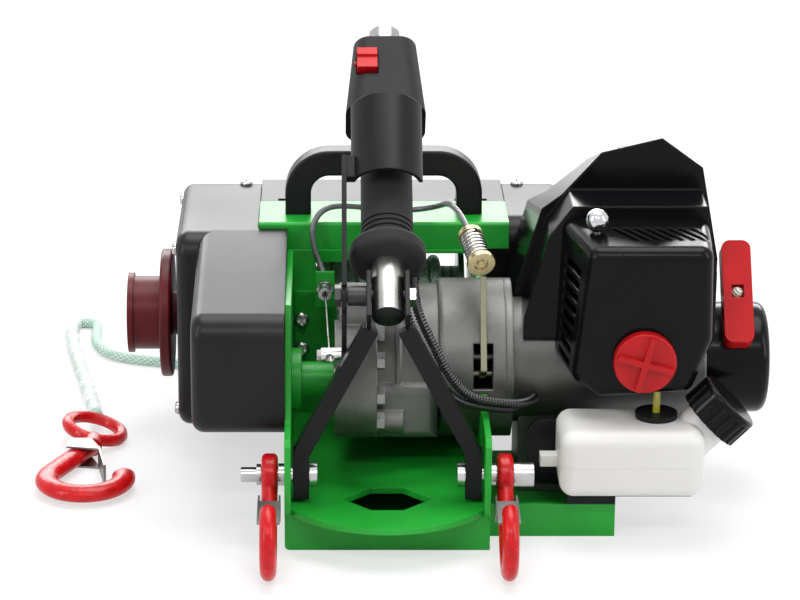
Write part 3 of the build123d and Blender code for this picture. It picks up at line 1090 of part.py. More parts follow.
def control_fork():
    """V-shaped fork: cheek plates around the tube's foot and a bent bar down to each frame cheek."""
    y0, y1 = PIVOT_Y - FORK_BAR / 2, PIVOT_Y + FORK_BAR / 2
    fork = None
    for side in (-1, 1):
        near, far = side * (TUBE_R + SIDE_GAP), side * (TUBE_R + SIDE_GAP + FORK_PLATE)
        part = arm_block(min(near, far), max(near, far), -TUBE_R, TUBE_R, -8, 2 * FORK_BOLT_S - 4)
        part += bar_y((side * FORK_TOP[0], FORK_TOP[1]), (side * FORK_KNEE[0], FORK_KNEE[1]), FORK_BAR, y0,
                      y1)
        x = side * FORK_KNEE[0]
        part += block(x - FORK_BAR / 2, x + FORK_BAR / 2, y0, y1, PIVOT_Z - 19, FORK_KNEE[1] + 3)
        fork = part if fork is None else fork + part
    fork -= ARM * Pos(0, 0, 50) * Cylinder(TUBE_R + CURVE_GAP, 100)
    fork -= rod_x(-100, 100, PIVOT_Y, PIVOT_Z, PIVOT_R + RUN_GAP)
    return fork - rod_x(-30, 30, *CROSS_BOLT, CROSS_BOLT_R + RUN_GAP)


def cross_bolt():
    """Bolt through fork and tube, longer to the left where the dead-man lever turns on it."""
    left = LEVER_X - LEVER_T / 2 - SIDE_GAP
    right = TUBE_R + SIDE_GAP + FORK_PLATE
    bolt = rod_x(left - 1, right + 1, *CROSS_BOLT, CROSS_BOLT_R)
    bolt += rod_x(LEVER_X + LEVER_T / 2 + SIDE_GAP, -right, *CROSS_BOLT, CROSS_BOLT_R + 3)
    for x in (left - 5, right):
        plane = Plane((x, *CROSS_BOLT), x_dir=(0, 1, 0), z_dir=(1, 0, 0))
        bolt += extrude(plane * RegularPolygon(CROSS_BOLT_R * 1.8, 6), 5)
    return bolt


def dead_man_lever():
    """Long strip on the cross bolt with a curved plate along the grip; pressing pulls the brake wire."""
    x0, x1 = LEVER_X - LEVER_T / 2, LEVER_X + LEVER_T / 2
    upper = arm_block(x0, x1, -18, -6, FORK_BOLT_S, LEVER_PLATE_S[0] + 20)
    s0, s1 = LEVER_PLATE_S
    plate = Pos(0, 0, (s0 + s1) / 2) * (Cylinder(LEVER_PLATE_R, s1 - s0)
                                        - Cylinder(LEVER_PLATE_R - 3, s1 - s0 + 2))
    plate -= block(-40, 40, -8, 40, s0 - 1, s1 + 1)
    upper += ARM * plate + arm_block(x0, -LEVER_PLATE_R + 4, -17, -8, s0, s0 + 20)
    upper = upper.rotate(Axis((0, *CROSS_BOLT), (1, 0, 0)), LEVER_OPEN)
    lever = upper + rod_x(x0, x1, *CROSS_BOLT, 14) + bar_x(CLAMP, CROSS_BOLT, 12, x0, x1)
    lever += rod_x(x0, x1, *CLAMP, 8) + rod_x(WIRE_END[0] - 7, x1 + 4, *CLAMP, 6)
    lever -= rod_between(Vector(*WIRE_END) + (Vector(*WIRE_END) - Vector(*WIRE_START)).normalized() * 20,
                         Vector(*WIRE_END) - (Vector(*WIRE_END) - Vector(*WIRE_START)).normalized() * 20, 3.2)
    return lever - rod_x(x0 - 1, x1 + 1, *CROSS_BOLT, CROSS_BOLT_R + RUN_GAP)


def hand_grip():
    """Grip on the tube with a wide flange at its lower end."""
    length = GRIP_END_S - FLANGE_S
    grip = Pos(0, 0, FLANGE_S + length / 2) * Cylinder(GRIP_R, length)
    flange = Pos(0, 0, FLANGE_S + 9) * Cylinder(FLANGE_R, 18)
    grip += fillet(flange.edges(), 6)
    for i in range(3):
        groove = Cylinder(GRIP_R + 1, 2) - Cylinder(GRIP_R - 1.5, 4)
        grip -= Pos(0, 0, FLANGE_S + 26 + 5 * i) * groove
    return ARM * (grip - Pos(0, 0, FLANGE_S + length / 2) * Cylinder(TUBE_R + RUN_GAP, length + 2))


def switch_housing():
    """Tapered switch housing at the top of the arm."""
    low = Plane((0, 0, GRIP_END_S)) * RectangleRounded(66, 54, 16)
    high = Plane((0, 0, HOUSING_END_S)) * RectangleRounded(52, 44, 14)
    body = loft([low, high])
    body = fillet(body.faces().sort_by(Axis.Z)[-1].edges(), 4)
    middle = (GRIP_END_S + HOUSING_END_S) / 2
    body -= Pos(0, 0, middle) * Cylinder(TUBE_R + RUN_GAP, HOUSING_END_S - GRIP_END_S + 4)
    body -= block(SWITCH_X - 9, SWITCH_X + 9, -40, -15.5, SWITCH_S - 14, SWITCH_S + 14)
    body -= Pos(SWITCH_X, SWITCH_PIN_Y, SWITCH_S) * Rot(0, 90, 0) * Cylinder(1.5 + RUN_GAP, 24)
    body -= block(-5, 5, 14, 40, GRIP_END_S - 1, GRIP_END_S + 20)
    body -= Pos(0, TRIGGER_Y, TRIGGER_S) * Rot(0, 90, 0) * Cylinder(2.5 + RUN_GAP, 24)
    return ARM * body


def stop_switch():
    """Red rocker in the housing's front face."""
    rocker = block(SWITCH_X - 8.4, SWITCH_X + 8.4, -29, -18, SWITCH_S - 10.5, SWITCH_S + 10.5)
    rocker -= block(SWITCH_X - 10, SWITCH_X + 10, -31, -27, SWITCH_S - 3, SWITCH_S + 3)
    rocker += Pos(SWITCH_X, SWITCH_PIN_Y, SWITCH_S) * Rot(0, 90, 0) * Cylinder(1.5, 22)
    return ARM * rocker


def throttle_trigger():
    """Throttle trigger under the housing, turning on a cross pin."""
    points = [(TRIGGER_Y - 3, TRIGGER_S + 4), (TRIGGER_Y + 11, TRIGGER_S + 4),
              (TRIGGER_Y + 18, TRIGGER_S - 38),
              (TRIGGER_Y + 12, TRIGGER_S - 38), (TRIGGER_Y + 6, TRIGGER_S - 8),
              (TRIGGER_Y - 3, TRIGGER_S - 5)]
    trigger = plate_x(points, -4, 4) + Pos(0, TRIGGER_Y, TRIGGER_S) * Rot(0, 90, 0) * Cylinder(2.5, 22)
    return ARM * trigger


def throttle_conduits():
    """Two hoses from the arm's flange to the engine."""
    first = soft_tube(CONDUIT_POINTS, CONDUIT_R)
    second = [(x + 9, y, z + 4) for x, y, z in CONDUIT_POINTS]
    for i in (0, 1):
        x, y, z = CONDUIT_POINTS[i]
        second[i] = (x + 9, y - 2, z + 2.8)
    return Compound(children=[first, soft_tube(second, CONDUIT_R)])


def hook_pins():
    """Pins through fork, cheek and hook, with a domed head inside and a collar outside."""
    pins = []
    for side in (-1, 1):
        inner, outer = HEAD_X, PIN_END_X
        pin = (rod_x(inner, outer, PIVOT_Y, PIVOT_Z, PIVOT_R)
               + rod_x(inner - 5, inner + 1, PIVOT_Y, PIVOT_Z, 10))
        pin += rod_x(FRAME_HALF_WIDTH, HOOK_X - HOOK_T / 2 - SIDE_GAP, PIVOT_Y, PIVOT_Z, 9)
        collar_r = 10 if side > 0 else 8.5
        collar_end = outer if side > 0 else HOOK_X + HOOK_T / 2 + 4
        pin += rod_x(HOOK_X + HOOK_T / 2 + SIDE_GAP, collar_end, PIVOT_Y, PIVOT_Z, collar_r)
        pins.append(pin if side > 0 else mirror(pin, Plane.YZ))
    return Compound(children=pins)


def hook_body(k, neck_u, end_u, half_t):
    """Forged hook: oval bar from its tip round the bowl and along the shank to end_u, mouth towards +v."""
    mid = (HOOK_BOWL_R + HOOK_THROAT_R) / 2 * k
    wide = (HOOK_BOWL_R - HOOK_THROAT_R) / 2 * k
    leave = math.acos(mid / neck_u)
    foot = (mid * math.cos(leave), -mid * math.sin(leave))
    end_v = foot[1] * (neck_u - end_u) / (neck_u - foot[0])
    start = math.radians(HOOK_TIP_ANGLE)
    bowl = ThreePointArc((mid * math.cos(start), mid * math.sin(start)), (-mid, 0), foot)
    path = Wire([bowl, Line(foot, (end_u, end_v))])
    section = Plane(path @ 0, x_dir=(0, 0, 1), z_dir=path % 0) * Ellipse(half_t, wide)
    return sweep(section, path=path) + Pos(*(path @ 0)) * Sphere(half_t - 0.2)


def latch_pin(k):
    """Latch pivot in the hook's own (u, v)."""
    return (46 * k, -8 * k)


def hook_latch(plane, k, half):
    """Sheet-metal safety latch: two ears on a rivet and a tongue across the mouth."""
    u, v = latch_pin(k)
    start, end = (38 * k, 6 * k), (6 * k, 12 * k)
    angle = math.degrees(math.atan2(end[1] - start[1], end[0] - start[0]))
    length = math.hypot(end[0] - start[0], end[1] - start[1])
    tongue = (Pos((start[0] + end[0]) / 2, (start[1] + end[1]) / 2) * Rot(0, 0, angle)
              * Box(length, 2, 2 * half))
    latch = tongue
    for z0 in (-half, half - 1.6):
        ear = make_face(Polyline((u + 7 * k, v - 7 * k), (u + 7 * k, v + 8 * k), start,
                                 (34 * k, 7.2 * k), (u - 8 * k, v - 7 * k), close=True))
        latch += extrude(Plane((0, 0, z0)) * ear, 1.6)
    return plane * (latch + Pos(u, v) * Cylinder(3, 2 * half))


def anchor_plane(side):
    """Frame of an anchor hook: origin in the bowl, x towards the pin, normal along +X."""
    drop = PIVOT_Z - HOOK_BOWL_R
    run = math.sqrt(HOOK_REACH ** 2 - drop ** 2)
    return Plane((side * HOOK_X, PIVOT_Y - run, HOOK_BOWL_R), x_dir=(0, run, drop), z_dir=(1, 0, 0))


def anchor_hook(side):
    """Red anchor hook hanging on its pin, bowl on the floor."""
    eye = Cylinder(HOOK_EYE_R, HOOK_T)
    hook = hook_body(1.0, HOOK_REACH, HOOK_REACH, HOOK_T / 2)
    hook += Pos(HOOK_REACH, 0, 0) * fillet(eye.edges().filter_by(GeomType.CIRCLE), HOOK_EYE_ROUND)
    hook -= Pos(HOOK_REACH, 0, 0) * Cylinder(PIVOT_R + RUN_GAP, 2 * HOOK_T)
    hook -= Pos(*latch_pin(1.0), 0) * Cylinder(3 + RUN_GAP, 2 * HOOK_T)
    return anchor_plane(side) * hook


def rope_hook():
    """Hook at the rope's end, lying on the floor, with its swivel and eye ring."""
    k = ROPE_HOOK_R / HOOK_BOWL_R
    hook = hook_body(k, ROPE_NECK_U, ROPE_NECK_U - 2, ROPE_HOOK_T / 2)
    hook -= Pos(*latch_pin(k), 0) * Cylinder(3 + RUN_GAP, 2 * ROPE_HOOK_T)
    hook += Pos(ROPE_NECK_U + 3, 0, 0) * Rot(0, 90, 0) * Cylinder(ROPE_HOOK_T / 2 + 1.5, 16)
    facet = Plane.XZ * Pos(EYE_RING_R, 0) * RegularPolygon(EYE_RING_WIRE, 8)
    ring = Rot(EYE_TILT, 0, 0) * Rot(0, 0, 40) * revolve(facet, Axis.Z)
    return ROPE_PLANE * (hook + Pos(ROPE_NECK_U + 9 + EYE_RING_R, 0, -EYE_LIFT) * ring)


def rope_lead():
    """Rope from the top of the winding out over the rear edge, along the floor to the hook."""
    return soft_tube(ROPE_POINTS, ROPE_D / 2)


NODES = {
    "base_tray": base_tray, "winch_frame": winch_frame, "front_wall": front_wall, "top_beam": top_beam,
    "carry_handle": carry_handle, "drum_guard": drum_guard, "drive_cover": drive_cover,
    "drum_end_cover": drum_end_cover, "cover_screws": cover_screws, "cable_bracket": cable_bracket,
    "bracket_screws": bracket_screws, "cable_adjuster": cable_adjuster, "brake_cable": brake_cable,
    "release_plunger": release_plunger, "release_spring": release_spring, "shaft_bearings": shaft_bearings,
    "gearbox_housing": gearbox_housing, "housing_bolts": housing_bolts, "clutch_housing": clutch_housing,
    "drive_chain": drive_chain, "crankcase": crankcase, "cylinder": cylinder, "engine_shroud": engine_shroud,
    "air_filter_cover": air_filter_cover, "starter_housing": starter_housing, "fuel_tank": fuel_tank,
    "tank_grommet": tank_grommet, "fuel_line": fuel_line, "tank_bracket": tank_bracket,
    "throttle_conduits": throttle_conduits, "control_fork": control_fork, "control_tube": control_tube,
    "switch_housing": switch_housing, "hand_grip": hand_grip, "cross_bolt": cross_bolt,
    "hook_pins": hook_pins,
    "rope_lead": rope_lead, "rope_hook": rope_hook, "drum_spool": drum_spool, "rope_winding": rope_winding,
    "drum_sprocket": drum_sprocket, "capstan": capstan, "output_shaft": output_shaft,
    "input_pinion": input_pinion, "crankshaft": crankshaft, "starter_grip": starter_grip,
    "starter_pulley": starter_pulley, "dead_man_lever": dead_man_lever, "brake_wire": brake_wire,
    "release_lever": release_lever, "throttle_trigger": throttle_trigger, "stop_switch": stop_switch,
    "fuel_cap": fuel_cap, "filter_knob": filter_knob, "choke_knob": choke_knob,
}

os.makedirs("parts", exist_ok=True)
for name, make in NODES.items():
    save(make(), name)
for side, word in ((-1, "left"), (1, "right")):
    save(anchor_hook(side), f"anchor_hook_{word}")
    save(hook_latch(anchor_plane(side), 1.0, HOOK_T / 2 + LATCH_SIDE), f"latch_{word}")
save(hook_latch(ROPE_PLANE, ROPE_HOOK_R / HOOK_BOWL_R, ROPE_HOOK_T / 2 + LATCH_SIDE), "rope_latch")
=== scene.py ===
"""Forestry winch: finishes, rope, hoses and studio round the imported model.

Metres, +Z up, in the model's own frame.
"""
import math

import bmesh
import bpy
from bpy.props import FloatProperty, FloatVectorProperty, IntProperty, PointerProperty
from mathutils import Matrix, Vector


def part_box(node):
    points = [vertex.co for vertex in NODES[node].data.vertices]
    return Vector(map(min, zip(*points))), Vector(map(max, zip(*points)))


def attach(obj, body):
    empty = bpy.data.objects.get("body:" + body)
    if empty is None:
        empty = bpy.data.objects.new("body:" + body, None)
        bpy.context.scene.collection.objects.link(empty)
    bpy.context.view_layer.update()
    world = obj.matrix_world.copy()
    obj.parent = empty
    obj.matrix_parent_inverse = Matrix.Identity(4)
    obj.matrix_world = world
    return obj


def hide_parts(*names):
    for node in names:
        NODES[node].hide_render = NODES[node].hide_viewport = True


bl_info = {
    "name": "Forestry winch",
    "version": (1, 0, 0),
    "blender": (4, 5, 0),
    "location": "View3D > Sidebar > Winch",
    "description": "Finishes, rope, hoses and studio for a petrol forestry winch",
    "category": "Object",
}

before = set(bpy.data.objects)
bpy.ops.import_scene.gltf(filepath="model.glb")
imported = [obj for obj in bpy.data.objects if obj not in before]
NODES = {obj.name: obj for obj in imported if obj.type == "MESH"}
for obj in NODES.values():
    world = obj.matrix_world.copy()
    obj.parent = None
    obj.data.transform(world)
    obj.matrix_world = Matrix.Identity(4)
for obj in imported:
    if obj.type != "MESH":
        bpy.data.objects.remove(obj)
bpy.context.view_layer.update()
MM = 0.001


def mm(points):
    """Points written in millimetres, as vectors in metres."""
    return [Vector(p) * MM for p in points]


# Winding on the drum: turns, their pitch and the lower layers' half width and radii, in metres
WIND_TURNS, WIND_PITCH, TURN_STEPS = 10, 0.0106, 48
LAYERS_HALF, LAYERS_IN_R, LAYERS_OUT_R = 0.0645, 0.0281, 0.041

# Sleeve: how far it stops short of the hook, and the lowest it comes to the floor, in metres
SLEEVE_STOP, SLEEVE_REST = 0.012, 0.0003

# Drum's axis, the rope's ways round it and its height on the floor, in millimetres
DRUM_Y, DRUM_Z, LEAD_R, WIND_R = 112.0, 103.0, 56.3, 45.9
FLOOR_ROPE_Z = 5.2


def off_drum(angle, x, grow=1 / math.cos(math.radians(20))):
    """Point on the rope's way round the drum, angle from +Y towards +Z."""
    a = math.radians(angle)
    return (x, DRUM_Y + LEAD_R * grow * math.cos(a), DRUM_Z + LEAD_R * grow * math.sin(a))


# Routes of the soft lines, in millimetres
ROPE_ROUTE = [off_drum(100, -40, 1), off_drum(80, -40), off_drum(40, -42), off_drum(0, -46), (-60, 190, 62),
              (-95, 215, 20)]
ROPE_ROUTE += [(x, y, FLOOR_ROPE_Z) for x, y in (
    (-140, 232), (-196, 250), (-250, 266), (-268, 302), (-269, 336), (-270, 361), (-293, 361), (-293, 331),
    (-287, 286), (-276, 232), (-266, 180), (-258, 138), (-253, 112))]
ROPE_ROUTE.append((-251, 94.8, 12))
CABLE_ROUTE = [(-50, 14, 162), (-50, 26, 162), (-53, 37, 169), (-60, 41, 186), (-61, 45, 206),
               (-50, 54, 218), (-28, 61, 217), (6, 61, 212), (40, 56, 216)]
PLUNGER_FOOT = Vector((77, -66, 206))
PLUNGER_WAY = Vector((-0.2, 0.92, 0.34)).normalized()
CABLE_ROUTE += [tuple(PLUNGER_FOOT + PLUNGER_WAY * run) for run in (88, 40)]
HOSE_ROUTE = [(12, -96.7, 201.5), (12, -117.2, 187.1), (26, -128, 158), (40, -130, 130), (56, -127, 110),
              (80, -119, 102.5), (106, -103, 95), (113, -73.8, 90)]
HOSE_ROUTE_2 = [(21, -98.7, 204.3), (21, -119.2, 189.9)] + [(x + 9, y, z + 4) for x, y, z in HOSE_ROUTE[2:]]

# Foot of the control arm, end of the wire's clamp, and where the starter cord leaves its ferrule
ARM_TILT = math.radians(35)
ARM_FOOT, ARM_WAY = Vector((0, -150, 191)), Vector((0, math.cos(ARM_TILT), math.sin(ARM_TILT)))
CLAMP = Vector((-53, -126, 150))
PULL_FOOT, PULL_WAY = Vector((288, -26.9, 160.8)), Vector((0, -0.8, 0.6))

# Where finishes change along a part, in metres: bolt's bright head, clamp's pin, tank's parting line
BOLT_BRIGHT_X = (0.0150, 0.0156)
CLAMP_EDGE_R, CLAMP_EDGE_X = (0.0064, 0.0068), (-0.0372, -0.0366)
TANK_SEAM_Z = 0.069

# Turned profiles, (radius, height) in metres, and the starter cord's knot, in metres and millimetres along it
PLUG_PROFILE = [(0, -0.0012), (0.0116, -0.0012), (0.0127, -0.0004), (0.0127, 0), (0.0108, 0),
                (0.0108, 0.009), (0, 0.009)]
NUT_PROFILE = [(0, -0.0038), (0.0042, -0.0038), (0.0048, -0.0032), (0.0048, 0), (0, 0)]
KNOT_R, KNOT_STEPS, KNOT_AT = 0.0049, 12, 24
CORD_R, CORD_FROM, CORD_TO = 0.0026, -46, 12


class Value:
    """A shader socket that takes part in Python sums."""

    def __init__(self, finish, socket):
        self.finish = finish
        self.socket = socket

    def _math(self, operation, *inputs):
        return self.finish.node("ShaderNodeMath", {"operation": operation}, dict(enumerate(inputs)))

    def __add__(self, other):
        return self._math("ADD", self, other)

    def __radd__(self, other):
        return self._math("ADD", other, self)

    def __sub__(self, other):
        return self._math("SUBTRACT", self, other)

    def __rsub__(self, other):
        return self._math("SUBTRACT", other, self)

    def __mul__(self, other):
        return self._math("MULTIPLY", self, other)

    def __rmul__(self, other):
        return self._math("MULTIPLY", other, self)

    def __abs__(self):
        return self._math("ABSOLUTE", self)

    def sin(self):
        return self._math("SINE", self)

    def fraction(self):
        return self._math("FRACT", self)

    def over(self, edge):
        return self._math("GREATER_THAN", self, edge)

    def larger(self, other):
        return self._math("MAXIMUM", self, other)

    def smooth(self, low, high):
        """0 below low, 1 above high, eased between."""
        return self.finish.node("ShaderNodeMapRange", {"interpolation_type": "SMOOTHSTEP"},
                                {"Value": self, "From Min": low, "From Max": high})


class Finish:
    """One procedural material and its nodes."""

    def __init__(self, name):
        self.material = bpy.data.materials.new(name)
        self.material.use_nodes = True
        self.tree = self.material.node_tree
        self.shader = self.tree.nodes["Principled BSDF"]
        self.coords = {}

    def node(self, kind, settings=None, inputs=None, output=0):
        """Adds a node: its settings first, then the values or links of its sockets."""
        made = self.tree.nodes.new(kind)
        for key, value in (settings or {}).items():
            setattr(made, key, value)
        for key, value in (inputs or {}).items():
            socket = made.inputs[key]
            if isinstance(value, Value):
                self.tree.links.new(value.socket, socket)
            else:
                socket.default_value = value
        return Value(self, made.outputs[output])

    def coord(self, which="Object"):
        """Texture coordinates, one node for the whole material."""
        if which not in self.coords:
            self.coords[which] = self.node("ShaderNodeTexCoord", output=which)
        return self.coords[which]

    def part(self, vector, axis):
        return self.node("ShaderNodeSeparateXYZ", inputs={0: vector}, output=axis)

    def noise(self, scale, detail=3.0, rough=0.5, where=None):
        return self.node("ShaderNodeTexNoise", inputs={
            "Vector": where or self.coord(), "Scale": scale, "Detail": detail, "Roughness": rough})

    def stretched(self, x, y, z):
        """Object coordinates scaled by each axis, for drawn or brushed grain."""
        return self.node("ShaderNodeVectorMath", {"operation": "MULTIPLY"}, {0: self.coord(), 1: (x, y, z)})

    def mix(self, amount, first, second):
        """Colour between first and second."""
        made = self.node("ShaderNodeMix", {"data_type": "RGBA"}, {0: amount}, output=2)
        for place, colour in ((6, first), (7, second)):
            socket = made.socket.node.inputs[place]
            if isinstance(colour, Value):
                self.tree.links.new(colour.socket, socket)
            else:
                socket.default_value = (*colour[:3], 1)
        return made

    def edges(self, radius, samples=4):
        """Rounded normal for sharp edges, and a mask that is 1 along them."""
        soft = self.node("ShaderNodeBevel", {"samples": samples}, {"Radius": radius})
        flat = self.node("ShaderNodeNewGeometry", output="Normal")
        facing = self.node("ShaderNodeVectorMath", {"operation": "DOT_PRODUCT"}, {0: soft, 1: flat},
                           output="Value")
        return soft, (1 - facing).smooth(0.01, 0.25)

    def bump(self, height, distance, normal=None):
        inputs = {"Height": height, "Distance": distance}
        if normal is not None:
            inputs["Normal"] = normal
        return self.node("ShaderNodeBump", inputs=inputs)

    def set(self, **sockets):
        """Sets or links the shader's own sockets, spaces written as underscores."""
        for key, value in sockets.items():
            socket = self.shader.inputs[key.replace("_", " ")]
            if isinstance(value, Value):
                self.tree.links.new(value.socket, socket)
            elif key.endswith("Color"):
                socket.default_value = (*value[:3], 1)
            else:
                socket.default_value = value
        return self.material


def colour_prop(name, words, value):
    return FloatVectorProperty(name=name, description=words, subtype="COLOR", size=3, min=0, max=1,
                               default=value)


def length_prop(name, words, value):
    return FloatProperty(name=name, description=words, subtype="DISTANCE", unit="LENGTH", min=0,
                         default=value)


class WINCH_PG_colours(bpy.types.PropertyGroup):
    """Colours of the winch's finishes."""
    green: colour_prop("Green", "Powder coat on the frame", (0.014, 0.352, 0.032))
    satin_black: colour_prop("Satin black", "Pressed covers and control fork", (0.0085, 0.0085, 0.0095))
    gloss_black: colour_prop("Gloss black", "Engine shroud and filter cover", (0.0032, 0.0032, 0.0038))
    matt_black: colour_prop("Matt black", "Grip, housing and rubber", (0.0095, 0.0095, 0.0105))
    hook_red: colour_prop("Hook red", "Enamel on the three hooks", (0.56, 0.004, 0.008))
    part_red: colour_prop("Part red", "Moulded knob, rocker and pull grip", (0.45, 0.004, 0.006))
    deep_red: colour_prop("Deep red", "Paint on the capstan", (0.085, 0.0016, 0.0035))
    rope: colour_prop("Rope", "Pale braided rope", (0.56, 0.75, 0.65))
    tank: colour_prop("Tank", "Milky fuel tank", (0.70, 0.695, 0.67))


class WINCH_PG_sizes(bpy.types.PropertyGroup):
    """Sizes of the soft lines and their details."""
    rope: length_prop("Rope", "Rope diameter", 0.010)
    sleeve: length_prop("Sleeve", "Outside diameter of the clear sleeve at the hook", 0.0142)
    sleeve_length: length_prop("Sleeve length", "Length of the clear sleeve", 0.27)
    cable: length_prop("Cable", "Outer brake cable diameter", 0.005)
    hose: length_prop("Hose", "Ribbed conduit diameter", 0.008)
    rib: length_prop("Rib", "Pitch of the conduit's ribs", 0.0026)
    line: length_prop("Fuel line", "Fuel line diameter", 0.006)
    plaits: IntProperty(name="Plaits", description="Strand pairs round the braid", default=6, min=3, max=16)


MAKERS, FINISHES = {}, {}


def finish(name):
    """Remembers a finish by name and makes it once."""
    def wrap(make):
        def give(colours):
            if name not in FINISHES:
                FINISHES[name] = make(Finish(name), colours)
            return FINISHES[name]
        MAKERS[name] = give
        return give
    return wrap


def lighter(colour, times, add=0.0):
    """Colour times a factor, plus grey, kept under white."""
    return tuple(min(1.0, c * times + add) for c in colour)


def powder_coat(f, colour, rough, coat, peel=0.00006, edge=0.0012, gloss=0.5):
    """Sprayed and baked coat: orange peel, faint clouding, and thin edges lightened partly as wear, partly as
    a painted highlight.
    """
    soft, edge_band = f.edges(edge)
    cloud = f.noise(14, 4)
    grain = f.noise(520, 2)
    # Broken band along the edges, lightened below: partly rubbed wear, partly a painted highlight.
    rub_and_highlight = (edge_band * f.noise(90, 4)).smooth(0.30, 0.75)
    tone = f.mix(cloud.smooth(0.35, 0.7), lighter(colour, 0.90), lighter(colour, 1.10))
    tone = f.mix(rub_and_highlight * 0.55, tone, lighter(colour, 1.5, 0.02))
    return f.set(Base_Color=tone, Roughness=rough + (cloud - 0.5) * 0.10 + (grain - 0.5) * 0.08,
                 Specular_IOR_Level=gloss, Coat_Weight=coat, Coat_Roughness=0.12,
                 Normal=f.bump(grain, peel, soft))


def bare_metal(f, colour, rough, grain=None, bump=0.00002, metal=1.0, edge=0.0006, tint=0.16):
    """Bare metal with a fine surface, uneven sheen, and edges painted brighter, partly as wear, partly as a
    painted highlight.
    """
    soft, edge_band = f.edges(edge)
    grain = grain or f.noise(700, 3)
    cloud = f.noise(30, 4)
    tone = f.mix(cloud.smooth(0.3, 0.7), lighter(colour, 1 - tint), lighter(colour, 1 + tint))
    # Brighter edges: partly wear, partly a painted highlight.
    tone = f.mix(edge_band * 0.5, tone, lighter(colour, 1.35, 0.03))
    return f.set(Base_Color=tone, Metallic=metal,
                 Roughness=rough + (cloud - 0.5) * 0.22 + (grain - 0.5) * 0.14,
                 Normal=f.bump(grain, bump, soft))


def moulded(f, colour, rough, coat=0.0, texture=0.00004, scale=900, edge=0.0008, gloss=0.5):
    """Moulded plastic or rubber with a fine spark-eroded texture, scuffs, and edges lightened partly as wear,
    partly as a painted highlight.
    """
    soft, edge_band = f.edges(edge)
    grain = f.noise(scale, 2)
    cloud = f.noise(22, 3)
    scuff = f.noise(1, 5, 0.7, f.stretched(240, 60, 900)).smooth(0.62, 0.78)
    tone = f.mix(cloud.smooth(0.3, 0.7), lighter(colour, 0.88), lighter(colour, 1.12))
    # Scuffs, and edges lightened partly as wear, partly as a painted highlight.
    tone = f.mix(edge_band * 0.35 + scuff * 0.08, tone, lighter(colour, 1.7, 0.012))
    return f.set(Base_Color=tone, Roughness=rough + (cloud - 0.5) * 0.14 + scuff * 0.08,
                 Specular_IOR_Level=gloss, Coat_Weight=coat, Coat_Roughness=0.06,
                 Normal=f.bump(grain, texture, soft))


@finish("green_powder_coat")
def green_powder_coat(f, c):
    return powder_coat(f, c.green, 0.34, 0.0, gloss=0.32)


@finish("satin_black_cover")
def satin_black_cover(f, c):
    return powder_coat(f, c.satin_black, 0.36, 0.0, 0.00004, 0.0015, 0.20)


@finish("black_bar_paint")
def black_bar_paint(f, c):
    return powder_coat(f, c.satin_black, 0.34, 0.0, 0.00006, 0.0012, 0.16)


@finish("gloss_black_shell")
def gloss_black_shell(f, c):
    return moulded(f, c.gloss_black, 0.17, 0.0, 0.00001, 400, 0.0028, 0.13)


@finish("matt_black_moulding")
def matt_black_moulding(f, c):
    return moulded(f, c.matt_black, 0.52, 0.0, 0.00006, 1100, 0.0014, 0.16)


@finish("foam_grip")
def foam_grip(f, c):
    """Dense foam: open pores over a dull skin, the pores painted darker as shade inside them."""
    pores = f.node("ShaderNodeTexVoronoi", {"feature": "F1"}, {"Vector": f.coord(), "Scale": 1500})
    cloud = f.noise(40, 3)
    # Pores painted darker: painted shade inside them.
    tone = f.mix(pores.smooth(0.15, 0.6), lighter(c.matt_black, 0.6), lighter(c.matt_black, 1.5, 0.004))
    tone = f.mix(cloud.smooth(0.4, 0.75) * 0.3, tone, lighter(c.matt_black, 2.0, 0.006))
    return f.set(Base_Color=tone, Roughness=0.72 + (cloud - 0.5) * 0.12, Sheen_Weight=0.05,
                 Specular_IOR_Level=0.2, Normal=f.bump(pores, 0.00012))


@finish("black_rubber")
def black_rubber(f, c):
    return moulded(f, lighter(c.matt_black, 0.8), 0.45, 0.0, 0.00005, 1400, 0.0006, 0.18)


@finish("hook_enamel")
def hook_enamel(f, c):
    """Thick brushed enamel over a forged skin."""
    soft, edge_band = f.edges(0.0028, 6)
    forged = f.noise(150, 4, 0.6)
    chip = (edge_band * f.noise(210, 4, 0.65)).smooth(0.46, 0.52)
    tone = f.mix(forged.smooth(0.3, 0.7), lighter(c.hook_red, 0.82), lighter(c.hook_red, 1.08))
    tone = f.mix(chip * 0.8, tone, (0.09, 0.085, 0.08))
    return f.set(Base_Color=tone, Roughness=0.20 + forged * 0.12, Specular_IOR_Level=0.3,
                 Normal=f.bump(forged, 0.00030, soft))


@finish("red_moulding")
def red_moulding(f, c):
    return moulded(f, c.part_red, 0.34, 0.0, 0.00004, 800, 0.0012, 0.25)


@finish("deep_red_paint")
def deep_red_paint(f, c):
    """Turned drum under paint: fine lathe rings, and edges lightened partly by rope polish, partly as a
    painted highlight.
    """
    soft, edge_band = f.edges(0.0010)
    rings = f.noise(1, 2, 0.5, f.stretched(2600, 30, 30))
    cloud = f.noise(26, 4)
    tone = f.mix(cloud.smooth(0.3, 0.7), lighter(c.deep_red, 0.85), lighter(c.deep_red, 1.18))
    # Lighter edges: partly rope polish, partly a painted highlight.
    tone = f.mix(edge_band * 0.5, tone, lighter(c.deep_red, 1.9, 0.02))
    return f.set(Base_Color=tone, Roughness=0.40 + (cloud - 0.5) * 0.16, Specular_IOR_Level=0.25,
                 Normal=f.bump(rings, 0.00005, soft))


